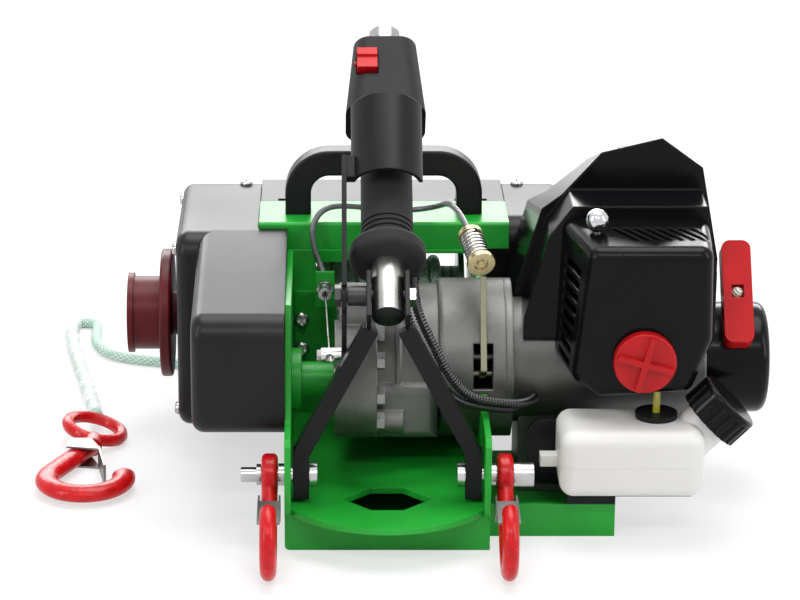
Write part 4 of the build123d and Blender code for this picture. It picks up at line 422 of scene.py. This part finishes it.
@finish("cast_alloy")
def cast_alloy(f, c):
    """Die-cast alloy: sandy skin, clouded dull grey, and edges painted brighter, partly as wear, partly as a
    painted highlight.
    """
    soft, edge_band = f.edges(0.0022, 6)
    sand = f.noise(650, 4, 0.62)
    cloud = f.noise(18, 4)
    tone = f.mix(cloud.smooth(0.3, 0.7), (0.105, 0.104, 0.101), (0.185, 0.183, 0.178))
    # Brighter edges: partly wear, partly a painted highlight.
    tone = f.mix(edge_band * 0.6, tone, (0.42, 0.42, 0.41))
    return f.set(Base_Color=tone, Metallic=0.85, Roughness=0.47 + (cloud - 0.5) * 0.16 + (sand - 0.5) * 0.2,
                 Normal=f.bump(sand, 0.00022, soft))


@finish("drawn_steel")
def drawn_steel(f, c):
    return bare_metal(f, (0.44, 0.435, 0.42), 0.30, f.noise(1, 3, 0.6, f.stretched(1500, 90, 1500)))


@finish("turned_steel")
def turned_steel(f, c):
    return bare_metal(f, (0.42, 0.41, 0.40), 0.34, f.noise(1, 3, 0.6, f.stretched(2200, 60, 60)))


@finish("bright_zinc")
def bright_zinc(f, c):
    return bare_metal(f, (0.50, 0.50, 0.495), 0.24, None, 0.00003, 1.0, 0.0005)


@finish("yellow_zinc")
def yellow_zinc(f, c):
    return bare_metal(f, (0.72, 0.60, 0.34), 0.26, None, 0.00002)


@finish("olive_zinc")
def olive_zinc(f, c):
    return bare_metal(f, (0.17, 0.165, 0.115), 0.38, f.noise(1, 3, 0.6, f.stretched(1200, 1200, 120)))


@finish("dull_zinc")
def dull_zinc(f, c):
    return bare_metal(f, (0.25, 0.25, 0.245), 0.40, f.noise(900, 3))


@finish("dark_sleeved_bolt")
def dark_sleeved_bolt(f, c):
    """Blackened sleeve on the lever's side, bright head and nut on the other."""
    bright = f.part(f.coord(), 0).smooth(*BOLT_BRIGHT_X)
    soft, edge_band = f.edges(0.0006)
    cloud = f.noise(60, 3)
    dark = f.mix(cloud.smooth(0.3, 0.7), (0.010, 0.010, 0.011), (0.022, 0.022, 0.024))
    # Lighter edges on the dark sleeve: partly wear, partly a painted highlight.
    tone = f.mix(bright, f.mix(edge_band * 0.5, dark, (0.09, 0.09, 0.09)), (0.50, 0.50, 0.495))
    return f.set(Base_Color=tone, Metallic=bright, Roughness=0.40 - bright * 0.16 + (cloud - 0.5) * 0.1,
                 Normal=soft)


@finish("bar_with_bright_clamp")
def bar_with_bright_clamp(f, c):
    """Painted bar whose wire clamp, a turned pin at its foot, stays bright."""
    x, y, z = (f.part(f.coord(), i) for i in (0, 1, 2))
    off_y, off_z = y - CLAMP.y * MM, z - CLAMP.z * MM
    near = 1 - (off_y * off_y + off_z * off_z).smooth(*(r ** 2 for r in CLAMP_EDGE_R))
    bright = near * (1 - x.smooth(*CLAMP_EDGE_X))
    soft, edge_band = f.edges(0.0012)
    cloud = f.noise(40, 3)
    paint = f.mix(cloud.smooth(0.3, 0.7), lighter(c.satin_black, 0.9), lighter(c.satin_black, 1.1))
    # Paint lightened along the edges: partly wear, partly a painted highlight.
    tone = f.mix(bright, f.mix(edge_band * 0.4, paint, lighter(c.satin_black, 1.5, 0.02)), (0.58, 0.585, 0.59))
    return f.set(Base_Color=tone, Metallic=bright, Roughness=0.34 - bright * 0.1 + (cloud - 0.5) * 0.1,
                 Specular_IOR_Level=0.16, Normal=soft)


@finish("polished_chrome")
def polished_chrome(f, c):
    return bare_metal(f, (0.62, 0.62, 0.64), 0.10, f.noise(300, 2), 0.000004, tint=0.05)


@finish("spring_wire")
def spring_wire(f, c):
    return bare_metal(f, (0.58, 0.58, 0.575), 0.18, f.noise(900, 2), 0.00001)


@finish("milky_tank")
def milky_tank(f, c):
    """Blow-moulded milky plastic with a fine satin skin and a faint parting line."""
    soft = f.edges(0.0016)[0]
    skin = f.noise(420, 3)
    cloud = f.noise(11, 3)
    height = f.part(f.coord(), 2)
    line = 1 - abs(height - TANK_SEAM_Z).smooth(0.0002, 0.0009)
    tone = f.mix(cloud.smooth(0.3, 0.75), lighter(c.tank, 0.94), lighter(c.tank, 1.03))
    tone = f.mix(line * 0.25, tone, lighter(c.tank, 0.82))
    return f.set(Base_Color=tone, Roughness=0.38 + (cloud - 0.5) * 0.12, Subsurface_Weight=0.25,
                 Subsurface_Radius=(0.008, 0.008, 0.007), Subsurface_Scale=1.0,
                 Normal=f.bump(skin * 0.4 + line, 0.00008, soft))


@finish("fuel_line_clear")
def fuel_line_clear(f, c):
    cloud = f.noise(80, 3)
    tone = f.mix(cloud.smooth(0.3, 0.7), (0.44, 0.40, 0.02), (0.62, 0.58, 0.06))
    return f.set(Base_Color=tone, Roughness=0.16 + cloud * 0.1, Coat_Weight=0.5, Transmission_Weight=0.25)


@finish("braided_rope")
def braided_rope(f, c):
    """Two families of strands that cross, paler on their crowns and darker in the valleys between them as
    painted shade, with a darker tracer.
    """
    along, round_ = (f.part(f.coord("UV"), i) for i in (0, 1))
    picks, pairs = 170, 8
    a = (along * picks + round_ * pairs).fraction()
    b = (round_ * pairs - along * picks).fraction()
    lift_a = (a * math.pi).sin()
    lift_b = (b * math.pi).sin()
    crown = (lift_a * lift_b).smooth(0.05, 0.85)
    fibres = f.noise(1, 2, 0.6, f.node("ShaderNodeVectorMath", {"operation": "MULTIPLY"},
                                       {0: f.coord("UV"), 1: (900, 40, 1)}))
    tracer = ((along * picks + round_ * pairs) * (1 / 4)).fraction().over(0.80)
    # Valleys between the strands painted darker as shade, crowns paler.
    tone = f.mix(crown, lighter(c.rope, 0.64), lighter(c.rope, 1.04))
    tone = f.mix(tracer * 0.26 + (fibres - 0.5) * 0.2, tone, (0.20, 0.50, 0.36))
    return f.set(Base_Color=tone, Roughness=0.66, Sheen_Weight=0.15,
                 Normal=f.bump(crown + fibres * 0.18, 0.0005))


@finish("painted_shade_under_rope")
def painted_shade_under_rope(f, c):
    """Lower layers of rope seen in the gaps: tight rings, the rope colour darkened as painted shade beneath
    the outer turns, and darker still as painted shade between the rings.
    """
    rings = abs((f.part(f.coord(), 0) * (math.pi / 0.0086)).sin())
    cloud = f.noise(120, 3)
    # Whole rope colour darkened as painted shade, more so in the grooves between rings.
    tone = f.mix(rings.smooth(0.1, 0.9), lighter(c.rope, 0.35), lighter(c.rope, 0.75))
    return f.set(Base_Color=tone, Roughness=0.7 + (cloud - 0.5) * 0.1,
                 Normal=f.bump(rings + cloud * 0.2, 0.0015))


@finish("clear_sleeve")
def clear_sleeve(f, c):
    """Clear wrinkled hose over the rope's end."""
    wrinkle = f.noise(1, 3, 0.55, f.stretched(60, 260, 60))
    tone = f.mix(wrinkle.smooth(0.4, 0.7), (0.80, 0.88, 0.83), (0.94, 0.96, 0.95))
    return f.set(Base_Color=tone, Roughness=0.14 + wrinkle * 0.12,
                 Alpha=0.46 + wrinkle.smooth(0.45, 0.7) * 0.34, Normal=f.bump(wrinkle, 0.0014))


@finish("grey_cable_sheath")
def grey_cable_sheath(f, c):
    """Smooth sheath over a spiral, its turns just showing through."""
    along = f.part(f.coord("UV"), 0)
    turns = (along * (2 * math.pi / 0.0016)).sin()
    cloud = f.noise(60, 3)
    tone = f.mix(cloud.smooth(0.35, 0.7), (0.055, 0.057, 0.062), (0.11, 0.113, 0.12))
    tone = f.mix(turns.smooth(-0.4, 0.9) * 0.35, tone, (0.17, 0.175, 0.185))
    return f.set(Base_Color=tone, Roughness=0.24 + cloud * 0.08, Coat_Weight=0.5, Coat_Roughness=0.08,
                 Normal=f.bump(turns, 0.00004))


@finish("ribbed_conduit")
def ribbed_conduit(f, c):
    cloud = f.noise(120, 3)
    dust = f.noise(500, 2)
    tone = f.mix(cloud.smooth(0.3, 0.7), lighter(c.gloss_black, 0.9), lighter(c.gloss_black, 1.5))
    return f.set(Base_Color=tone, Roughness=0.26 + dust * 0.12, Coat_Weight=0.2, Coat_Roughness=0.1,
                 Normal=f.bump(dust, 0.00002))


@finish("white_knot")
def white_knot(f, c):
    """Laid white cord: strands that run aslant, darker in the grooves between them as painted shade."""
    x, y, z = (f.part(f.coord(), i) for i in (0, 1, 2))
    strand = (x * 1500 + z * 2300 - y * 900).sin()
    fuzz = f.noise(1200, 2)
    # Grooves between strands painted darker as shade, plus random fuzz.
    tone = f.mix((strand * 0.7 + fuzz).smooth(-0.4, 1.1), (0.44, 0.41, 0.34), (0.76, 0.74, 0.68))
    return f.set(Base_Color=tone, Roughness=0.62 + fuzz * 0.15, Normal=f.bump(strand + fuzz * 0.4, 0.0003))


NODE_FINISH = {
    "green_powder_coat": "base_tray winch_frame front_wall top_beam cable_bracket",
    "satin_black_cover": "drive_cover drum_end_cover drum_guard",
    "black_bar_paint": "carry_handle control_fork tank_bracket throttle_trigger",
    "bar_with_bright_clamp": "dead_man_lever",
    "gloss_black_shell": "engine_shroud air_filter_cover starter_housing fuel_cap",
    "matt_black_moulding": "switch_housing",
    "foam_grip": "hand_grip",
    "black_rubber": "tank_grommet",
    "hook_enamel": "anchor_hook_left anchor_hook_right rope_hook",
    "red_moulding": "stop_switch filter_knob starter_grip",
    "deep_red_paint": "capstan",
    "cast_alloy": "gearbox_housing clutch_housing crankcase cylinder",
    "drawn_steel": "control_tube brake_wire drive_chain",
    "olive_zinc": "release_lever",
    "dark_sleeved_bolt": "cross_bolt",
    "turned_steel": "drum_spool output_shaft input_pinion drum_sprocket crankshaft shaft_bearings"
                    " starter_pulley",
    "bright_zinc": "cover_screws bracket_screws hook_pins cable_adjuster",
    "dull_zinc": "housing_bolts latch_left latch_right rope_latch",
    "yellow_zinc": "release_plunger",
    "polished_chrome": "choke_knob",
    "spring_wire": "release_spring",
    "milky_tank": "fuel_tank",
}


def dress(obj, name):
    """Gives an object its finish."""
    material = MAKERS[name](bpy.context.scene.winch_colours)
    obj.data.materials.clear()
    obj.data.materials.append(material)
    return obj


def piece(name, mesh_or_curve, finish_name, body, smooth=True):
    """New object of the winch: linked, dressed, smoothed and riding on its body."""
    obj = bpy.data.objects.new(name, mesh_or_curve)
    bpy.context.scene.collection.objects.link(obj)
    dress(obj, finish_name)
    if smooth and obj.type == "MESH":
        for face in obj.data.polygons:
            face.use_smooth = True
    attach(obj, body)
    return obj


def spline(name, route):
    """NURBS line through the route's control points, in metres."""
    curve = bpy.data.curves.new(name, "CURVE")
    curve.dimensions = "3D"
    curve.resolution_u = 16
    line = curve.splines.new("NURBS")
    line.points.add(len(route) - 1)
    for point, place in zip(line.points, route):
        point.co = (*place, 1)
    line.order_u = 3
    line.use_endpoint_u = True
    return curve


def walk(route, name="route"):
    """Points along the route's NURBS line, as a plain mesh gives them."""
    carrier = bpy.data.objects.new(name, spline(name, route))
    bpy.context.scene.collection.objects.link(carrier)
    bpy.context.view_layer.update()
    mesh = bpy.data.meshes.new_from_object(carrier)
    points = [v.co.copy() for v in mesh.vertices]
    bpy.data.meshes.remove(mesh)
    bpy.data.objects.remove(carrier)
    return points


def stations(points, step):
    """Even steps along a line: place, direction and distance."""
    reach = [0.0]
    for a, b in zip(points, points[1:]):
        reach.append(reach[-1] + (b - a).length)
    count = max(2, round(reach[-1] / step))
    spots, i = [], 0
    for k in range(count + 1):
        d = reach[-1] * k / count
        while i < len(points) - 2 and reach[i + 1] < d:
            i += 1
        t = (d - reach[i]) / max(1e-9, reach[i + 1] - reach[i])
        spots.append((points[i].lerp(points[i + 1], t), d))
    out = []
    for k, (place, d) in enumerate(spots):
        ahead = spots[min(k + 1, count)][0] - spots[max(k - 1, 0)][0]
        out.append((place, ahead.normalized(), d))
    return out


def tube(name, spots, radius, sides=16, caps=True):
    """Round tube along stations. radius is a number, or gives one from distance and angle share."""
    mesh = bpy.data.meshes.new(name)
    bm = bmesh.new()
    uv = bm.loops.layers.uv.new("UVMap")
    side = spots[0][1].orthogonal().normalized()
    rings = []
    for place, way, d in spots:
        side = (side - way * side.dot(way)).normalized()
        up = way.cross(side)
        ring = []
        for j in range(sides):
            turn = 2 * math.pi * j / sides
            r = radius(d, j / sides) if callable(radius) else radius
            ring.append(bm.verts.new(place + (side * math.cos(turn) + up * math.sin(turn)) * r))
        rings.append((ring, d))
    for (low, d0), (high, d1) in zip(rings, rings[1:]):
        for j in range(sides):
            n = (j + 1) % sides
            face = bm.faces.new((low[j], low[n], high[n], high[j]))
            corners = ((d0, j), (d0, j + 1), (d1, j + 1), (d1, j))
            for loop, (d, a) in zip(face.loops, corners):
                loop[uv].uv = (d, a / sides)
    if caps:
        bm.faces.new(list(reversed(rings[0][0])))
        bm.faces.new(rings[-1][0])
    bm.to_mesh(mesh)
    bm.free()
    return mesh


def turned(name, profile, origin, axis, sides=48):
    """Turned form: (radius, height) pairs about an axis through origin, in metres."""
    mesh = bpy.data.meshes.new(name)
    bm = bmesh.new()
    axis = Vector(axis).normalized()
    side = axis.orthogonal().normalized()
    up = axis.cross(side)
    rings = []
    for r, h in profile:
        if r < 1e-7:
            rings.append([bm.verts.new(Vector(origin) + axis * h)])
            continue
        rings.append([bm.verts.new(Vector(origin) + axis * h + (side * math.cos(2 * math.pi * j / sides)
                                   + up * math.sin(2 * math.pi * j / sides)) * r) for j in range(sides)])
    for low, high in zip(rings, rings[1:]):
        for j in range(sides):
            n = (j + 1) % sides
            if len(low) == 1:
                bm.faces.new((low[0], high[n], high[j]))
            elif len(high) == 1:
                bm.faces.new((low[j], low[n], high[0]))
            else:
                bm.faces.new((low[j], low[n], high[n], high[j]))
    bmesh.ops.recalc_face_normals(bm, faces=bm.faces)
    bm.to_mesh(mesh)
    bm.free()
    return mesh


class WINCH_OT_finishes(bpy.types.Operator):
    """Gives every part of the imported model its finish"""
    bl_idname = "winch.finishes"
    bl_label = "Finishes"

    def execute(self, context):
        for name, nodes in NODE_FINISH.items():
            for node in nodes.split():
                dress(NODES[node], name)
        return {"FINISHED"}


class WINCH_OT_rope(bpy.types.Operator):
    """Braided rope from the drum along the floor to its hook, with the clear sleeve"""
    bl_idname = "winch.rope"
    bl_label = "Rope"

    def execute(self, context):
        s = context.scene.winch_sizes
        points = walk(mm(ROPE_ROUTE))
        spots = stations(points, 0.0025)

        def lay(d, a):
            return s.rope / 2 * (0.965 + 0.035 * math.cos(2 * math.pi * (a * s.plaits * 2 + d * 55)))

        braid = tube("rope_lead_braid", spots, lay, 36)
        rope = piece("rope_lead_braid", braid, "braided_rope", "frame")
        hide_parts("rope_lead")
        start = spots[-1][2] - s.sleeve_length
        run = [p for p in spots if start < p[2] < spots[-1][2] - SLEEVE_STOP]

        def crumple(d, a):
            fold = math.sin(d * 190 + 3 * math.sin(d * 47)) * math.cos(2 * math.pi * a)
            return s.sleeve / 2 * (0.95 + 0.05 * fold)

        hull = tube("rope_sleeve", run, crumple, 28, False)
        for v in hull.vertices:
            v.co.z = max(v.co.z, SLEEVE_REST)
        sleeve = piece("rope_sleeve", hull, "clear_sleeve", "frame")
        return {"FINISHED"}


class WINCH_OT_winding(bpy.types.Operator):
    """Turns of rope on the drum"""
    bl_idname = "winch.winding"
    bl_label = "Winding"

    def execute(self, context):
        s = context.scene.winch_sizes
        points = []
        for k in range(WIND_TURNS * TURN_STEPS + 1):
            a = 2 * math.pi * k / TURN_STEPS
            along = WIND_PITCH * (k / TURN_STEPS - WIND_TURNS / 2)
            points.append(Vector((along, DRUM_Y * MM + WIND_R * MM * math.cos(a),
                                  DRUM_Z * MM + WIND_R * MM * math.sin(a))))
        outer = tube("wound_rope", stations(points, 0.004), s.rope / 2, 14)
        wound = piece("wound_rope", outer, "braided_rope", "drum")
        core = [(LAYERS_IN_R, -LAYERS_HALF), (LAYERS_OUT_R, -LAYERS_HALF), (LAYERS_OUT_R, LAYERS_HALF),
                (LAYERS_IN_R, LAYERS_HALF), (LAYERS_IN_R, -LAYERS_HALF)]
        layer = turned("wound_layers", core, (0, DRUM_Y * MM, DRUM_Z * MM), (1, 0, 0), 64)
        under = piece("wound_layers", layer, "painted_shade_under_rope", "drum", False)
        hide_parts("rope_winding")
        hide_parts("rope_winding")
        return {"FINISHED"}


class WINCH_OT_cables(bpy.types.Operator):
    """Outer brake cable and the fuel line"""
    bl_idname = "winch.cables"
    bl_label = "Cable and fuel line"

    def execute(self, context):
        s = context.scene.winch_sizes
        points = walk(mm(CABLE_ROUTE))
        sheath = tube("brake_cable_sheath", stations(points, 0.002), s.cable / 2, 20)
        cable = piece("brake_cable_sheath", sheath, "grey_cable_sheath", "frame")
        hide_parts("brake_cable")
        low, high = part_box("fuel_line")
        x, y = (low.x + high.x) / 2, (low.y + high.y) / 2
        run = [Vector((x, y, low.z + (high.z - low.z) * k / 12)) for k in range(13)]
        hose = tube("fuel_line_tube", stations(run, 0.001), s.line / 2, 24)
        line = piece("fuel_line_tube", hose, "fuel_line_clear", "frame")
        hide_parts("fuel_line")
        return {"FINISHED"}


class WINCH_OT_hoses(bpy.types.Operator):
    """Two ribbed conduits from the arm to the engine"""
    bl_idname = "winch.hoses"
    bl_label = "Ribbed conduits"

    def execute(self, context):
        s = context.scene.winch_sizes

        def ribs(d, a):
            wave = math.sin(2 * math.pi * d / s.rib)
            return s.hose / 2 * (0.90 + 0.10 * max(-1.0, min(1.0, 1.8 * wave)))

        made = []
        for name, route in (("conduit_ribs_left", HOSE_ROUTE), ("conduit_ribs_right", HOSE_ROUTE_2)):
            points = walk(mm(route))
            hose = piece(name, tube(name, stations(points, s.rib / 6), ribs, 20), "ribbed_conduit", "frame")
            made.append(hose)
        for hose in made:
            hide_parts("throttle_conduits")
        return {"FINISHED"}


class WINCH_OT_details(bpy.types.Operator):
    """Plug in the arm's lower end, nut of the wire clamp, and the starter cord with its knot"""
    bl_idname = "winch.details"
    bl_label = "Plug, nut and starter cord"

    def execute(self, context):
        plug = turned("arm_plug", PLUG_PROFILE, ARM_FOOT * MM, ARM_WAY)
        piece("arm_plug", plug, "black_rubber", "frame")
        angles = [math.pi * (k / KNOT_STEPS - 0.5) for k in range(KNOT_STEPS + 1)]
        ball = [(KNOT_R * math.cos(a), KNOT_R * math.sin(a)) for a in angles]
        knot = turned("starter_knot", ball, (PULL_FOOT + PULL_WAY * KNOT_AT) * MM, PULL_WAY, 24)
        piece("starter_knot", knot, "white_knot", "starter_pull")
        run = [(PULL_FOOT + PULL_WAY * k) * MM for k in range(CORD_FROM, CORD_TO + 1)]
        cord = tube("starter_cord", stations(run, 0.001), CORD_R, 16)
        piece("starter_cord", cord, "white_knot", "starter_pull")
        nut = turned("wire_clamp_nut", NUT_PROFILE, CLAMP * MM, (1, 0, 0), 6)
        piece("wire_clamp_nut", nut, "bright_zinc", "dead_man", False)
        return {"FINISHED"}


# Studio: strength of the air as a light, the floor's own white as seen, and each lamp's name, place, target,
# width, height and power
AIR_FILL, FLOOR_WHITE, FLOOR_HALF = 0.34, 0.62, 6
LAMPS = (("top_softbox", (0.1, 0.2, 1.7), (0, 0, 0.1), 1.5, 1.0, 26),
         ("back_softbox", (0, 2.3, 1.15), (0, 0, 0.1), 3.0, 0.8, 60),
         ("left_strip", (-1.5, -0.9, 1.0), (0, 0, 0.15), 0.12, 1.2, 11),
         ("right_strip", (1.6, -0.8, 1.0), (0, 0, 0.15), 0.12, 1.2, 11),
         ("front_strip", (-0.1, -1.7, 1.75), (0, 0, 0.15), 1.4, 0.12, 12))
CAMERA_PLACE, CAMERA_TILT = (-0.0458, -2.3741, 0.9705), math.radians(71)
CAMERA_LENS, CAMERA_SENSOR, CAMERA_SHIFT = 135, 36, 0.0875


def studio_air(fill):
    """White air for the eye and for reflections, dimmer as a source of light."""
    world = bpy.data.worlds.new("studio_air")
    world.use_nodes = True
    nodes, links = world.node_tree.nodes, world.node_tree.links
    lit = nodes["Background"]
    seen = nodes.new("ShaderNodeBackground")
    for shade, strength in ((lit, fill), (seen, 1.0)):
        shade.inputs["Color"].default_value = (1, 1, 1, 1)
        shade.inputs["Strength"].default_value = strength
    path = nodes.new("ShaderNodeLightPath")
    share = path.outputs["Is Camera Ray"]
    for kind in ("Is Glossy Ray", "Is Transmission Ray"):
        larger = nodes.new("ShaderNodeMath")
        larger.operation = "MAXIMUM"
        links.new(share, larger.inputs[0])
        links.new(path.outputs[kind], larger.inputs[1])
        share = larger.outputs[0]
    blend = nodes.new("ShaderNodeMixShader")
    links.new(share, blend.inputs[0])
    links.new(lit.outputs[0], blend.inputs[1])
    links.new(seen.outputs[0], blend.inputs[2])
    links.new(blend.outputs[0], nodes["World Output"].inputs["Surface"])
    return world


class WINCH_OT_stage(bpy.types.Operator):
    """Pale floor, soft lamps and the photograph's camera"""
    bl_idname = "winch.stage"
    bl_label = "Studio"

    def execute(self, context):
        scene = context.scene
        scene.view_settings.view_transform = "Standard"
        floor = bpy.data.meshes.new("studio_floor")
        corners = [(x * FLOOR_HALF, y * FLOOR_HALF, 0) for x, y in ((-1, -1), (1, -1), (1, 1), (-1, 1))]
        floor.from_pydata(corners, [], [(0, 1, 2, 3)])
        ground = bpy.data.objects.new("studio_floor", floor)
        scene.collection.objects.link(ground)
        f = Finish("studio_floor_white")
        lit = f.node("ShaderNodeBsdfDiffuse", inputs={"Color": (0.86, 0.86, 0.87, 1)})
        glow = f.node("ShaderNodeEmission", inputs={"Color": (1, 1, 1, 1), "Strength": 1.0})
        seen = f.node("ShaderNodeLightPath", output="Is Camera Ray")
        for kind in ("Is Glossy Ray", "Is Transmission Ray"):
            seen = seen.larger(f.node("ShaderNodeLightPath", output=kind))
        blend = f.node("ShaderNodeMixShader", inputs={0: seen * FLOOR_WHITE, 1: lit, 2: glow})
        f.tree.links.new(blend.socket, f.tree.nodes["Material Output"].inputs["Surface"])
        f.tree.nodes.remove(f.shader)
        floor.materials.append(f.material)

        scene.world = studio_air(AIR_FILL)
        for name, place, target, wide, tall, power in LAMPS:
            data = bpy.data.lights.new(name, "AREA")
            data.shape, data.size, data.size_y, data.energy = "RECTANGLE", wide, tall, power
            lamp = bpy.data.objects.new(name, data)
            lamp.location = place
            lamp.rotation_euler = (Vector(target) - Vector(place)).to_track_quat("-Z", "Y").to_euler()
            scene.collection.objects.link(lamp)

        view = bpy.data.cameras.new("photo_camera")
        view.lens, view.sensor_width, view.shift_x = CAMERA_LENS, CAMERA_SENSOR, CAMERA_SHIFT
        camera = bpy.data.objects.new("photo_camera", view)
        camera.location = CAMERA_PLACE
        camera.rotation_euler = (CAMERA_TILT, 0, 0)
        scene.collection.objects.link(camera)
        scene.camera = camera
        return {"FINISHED"}


OPERATORS = (WINCH_OT_finishes, WINCH_OT_rope, WINCH_OT_winding, WINCH_OT_cables, WINCH_OT_hoses,
             WINCH_OT_details, WINCH_OT_stage)


class WINCH_PT_panel(bpy.types.Panel):
    """Lists the winch's colours, sizes and steps"""
    bl_idname = "WINCH_PT_panel"
    bl_label = "Forestry winch"
    bl_space_type = "VIEW_3D"
    bl_region_type = "UI"
    bl_category = "Winch"

    def draw(self, context):
        for group in (context.scene.winch_colours, context.scene.winch_sizes):
            column = self.layout.column()
            for key in group.bl_rna.properties.keys():
                if key not in ("rna_type", "name"):
                    column.prop(group, key)
        for operator in OPERATORS:
            self.layout.operator(operator.bl_idname)


CLASSES = (WINCH_PG_colours, WINCH_PG_sizes, *OPERATORS, WINCH_PT_panel)


def register():
    for cls in CLASSES:
        bpy.utils.register_class(cls)
    bpy.types.Scene.winch_colours = PointerProperty(type=WINCH_PG_colours)
    bpy.types.Scene.winch_sizes = PointerProperty(type=WINCH_PG_sizes)


def unregister():
    del bpy.types.Scene.winch_sizes
    del bpy.types.Scene.winch_colours
    for cls in reversed(CLASSES):
        bpy.utils.unregister_class(cls)


def main():
    register()
    bpy.ops.winch.finishes()
    bpy.ops.winch.rope()
    bpy.ops.winch.winding()
    bpy.ops.winch.cables()
    bpy.ops.winch.hoses()
    bpy.ops.winch.details()
    bpy.ops.winch.stage()


if __name__ == "__main__":
    main()
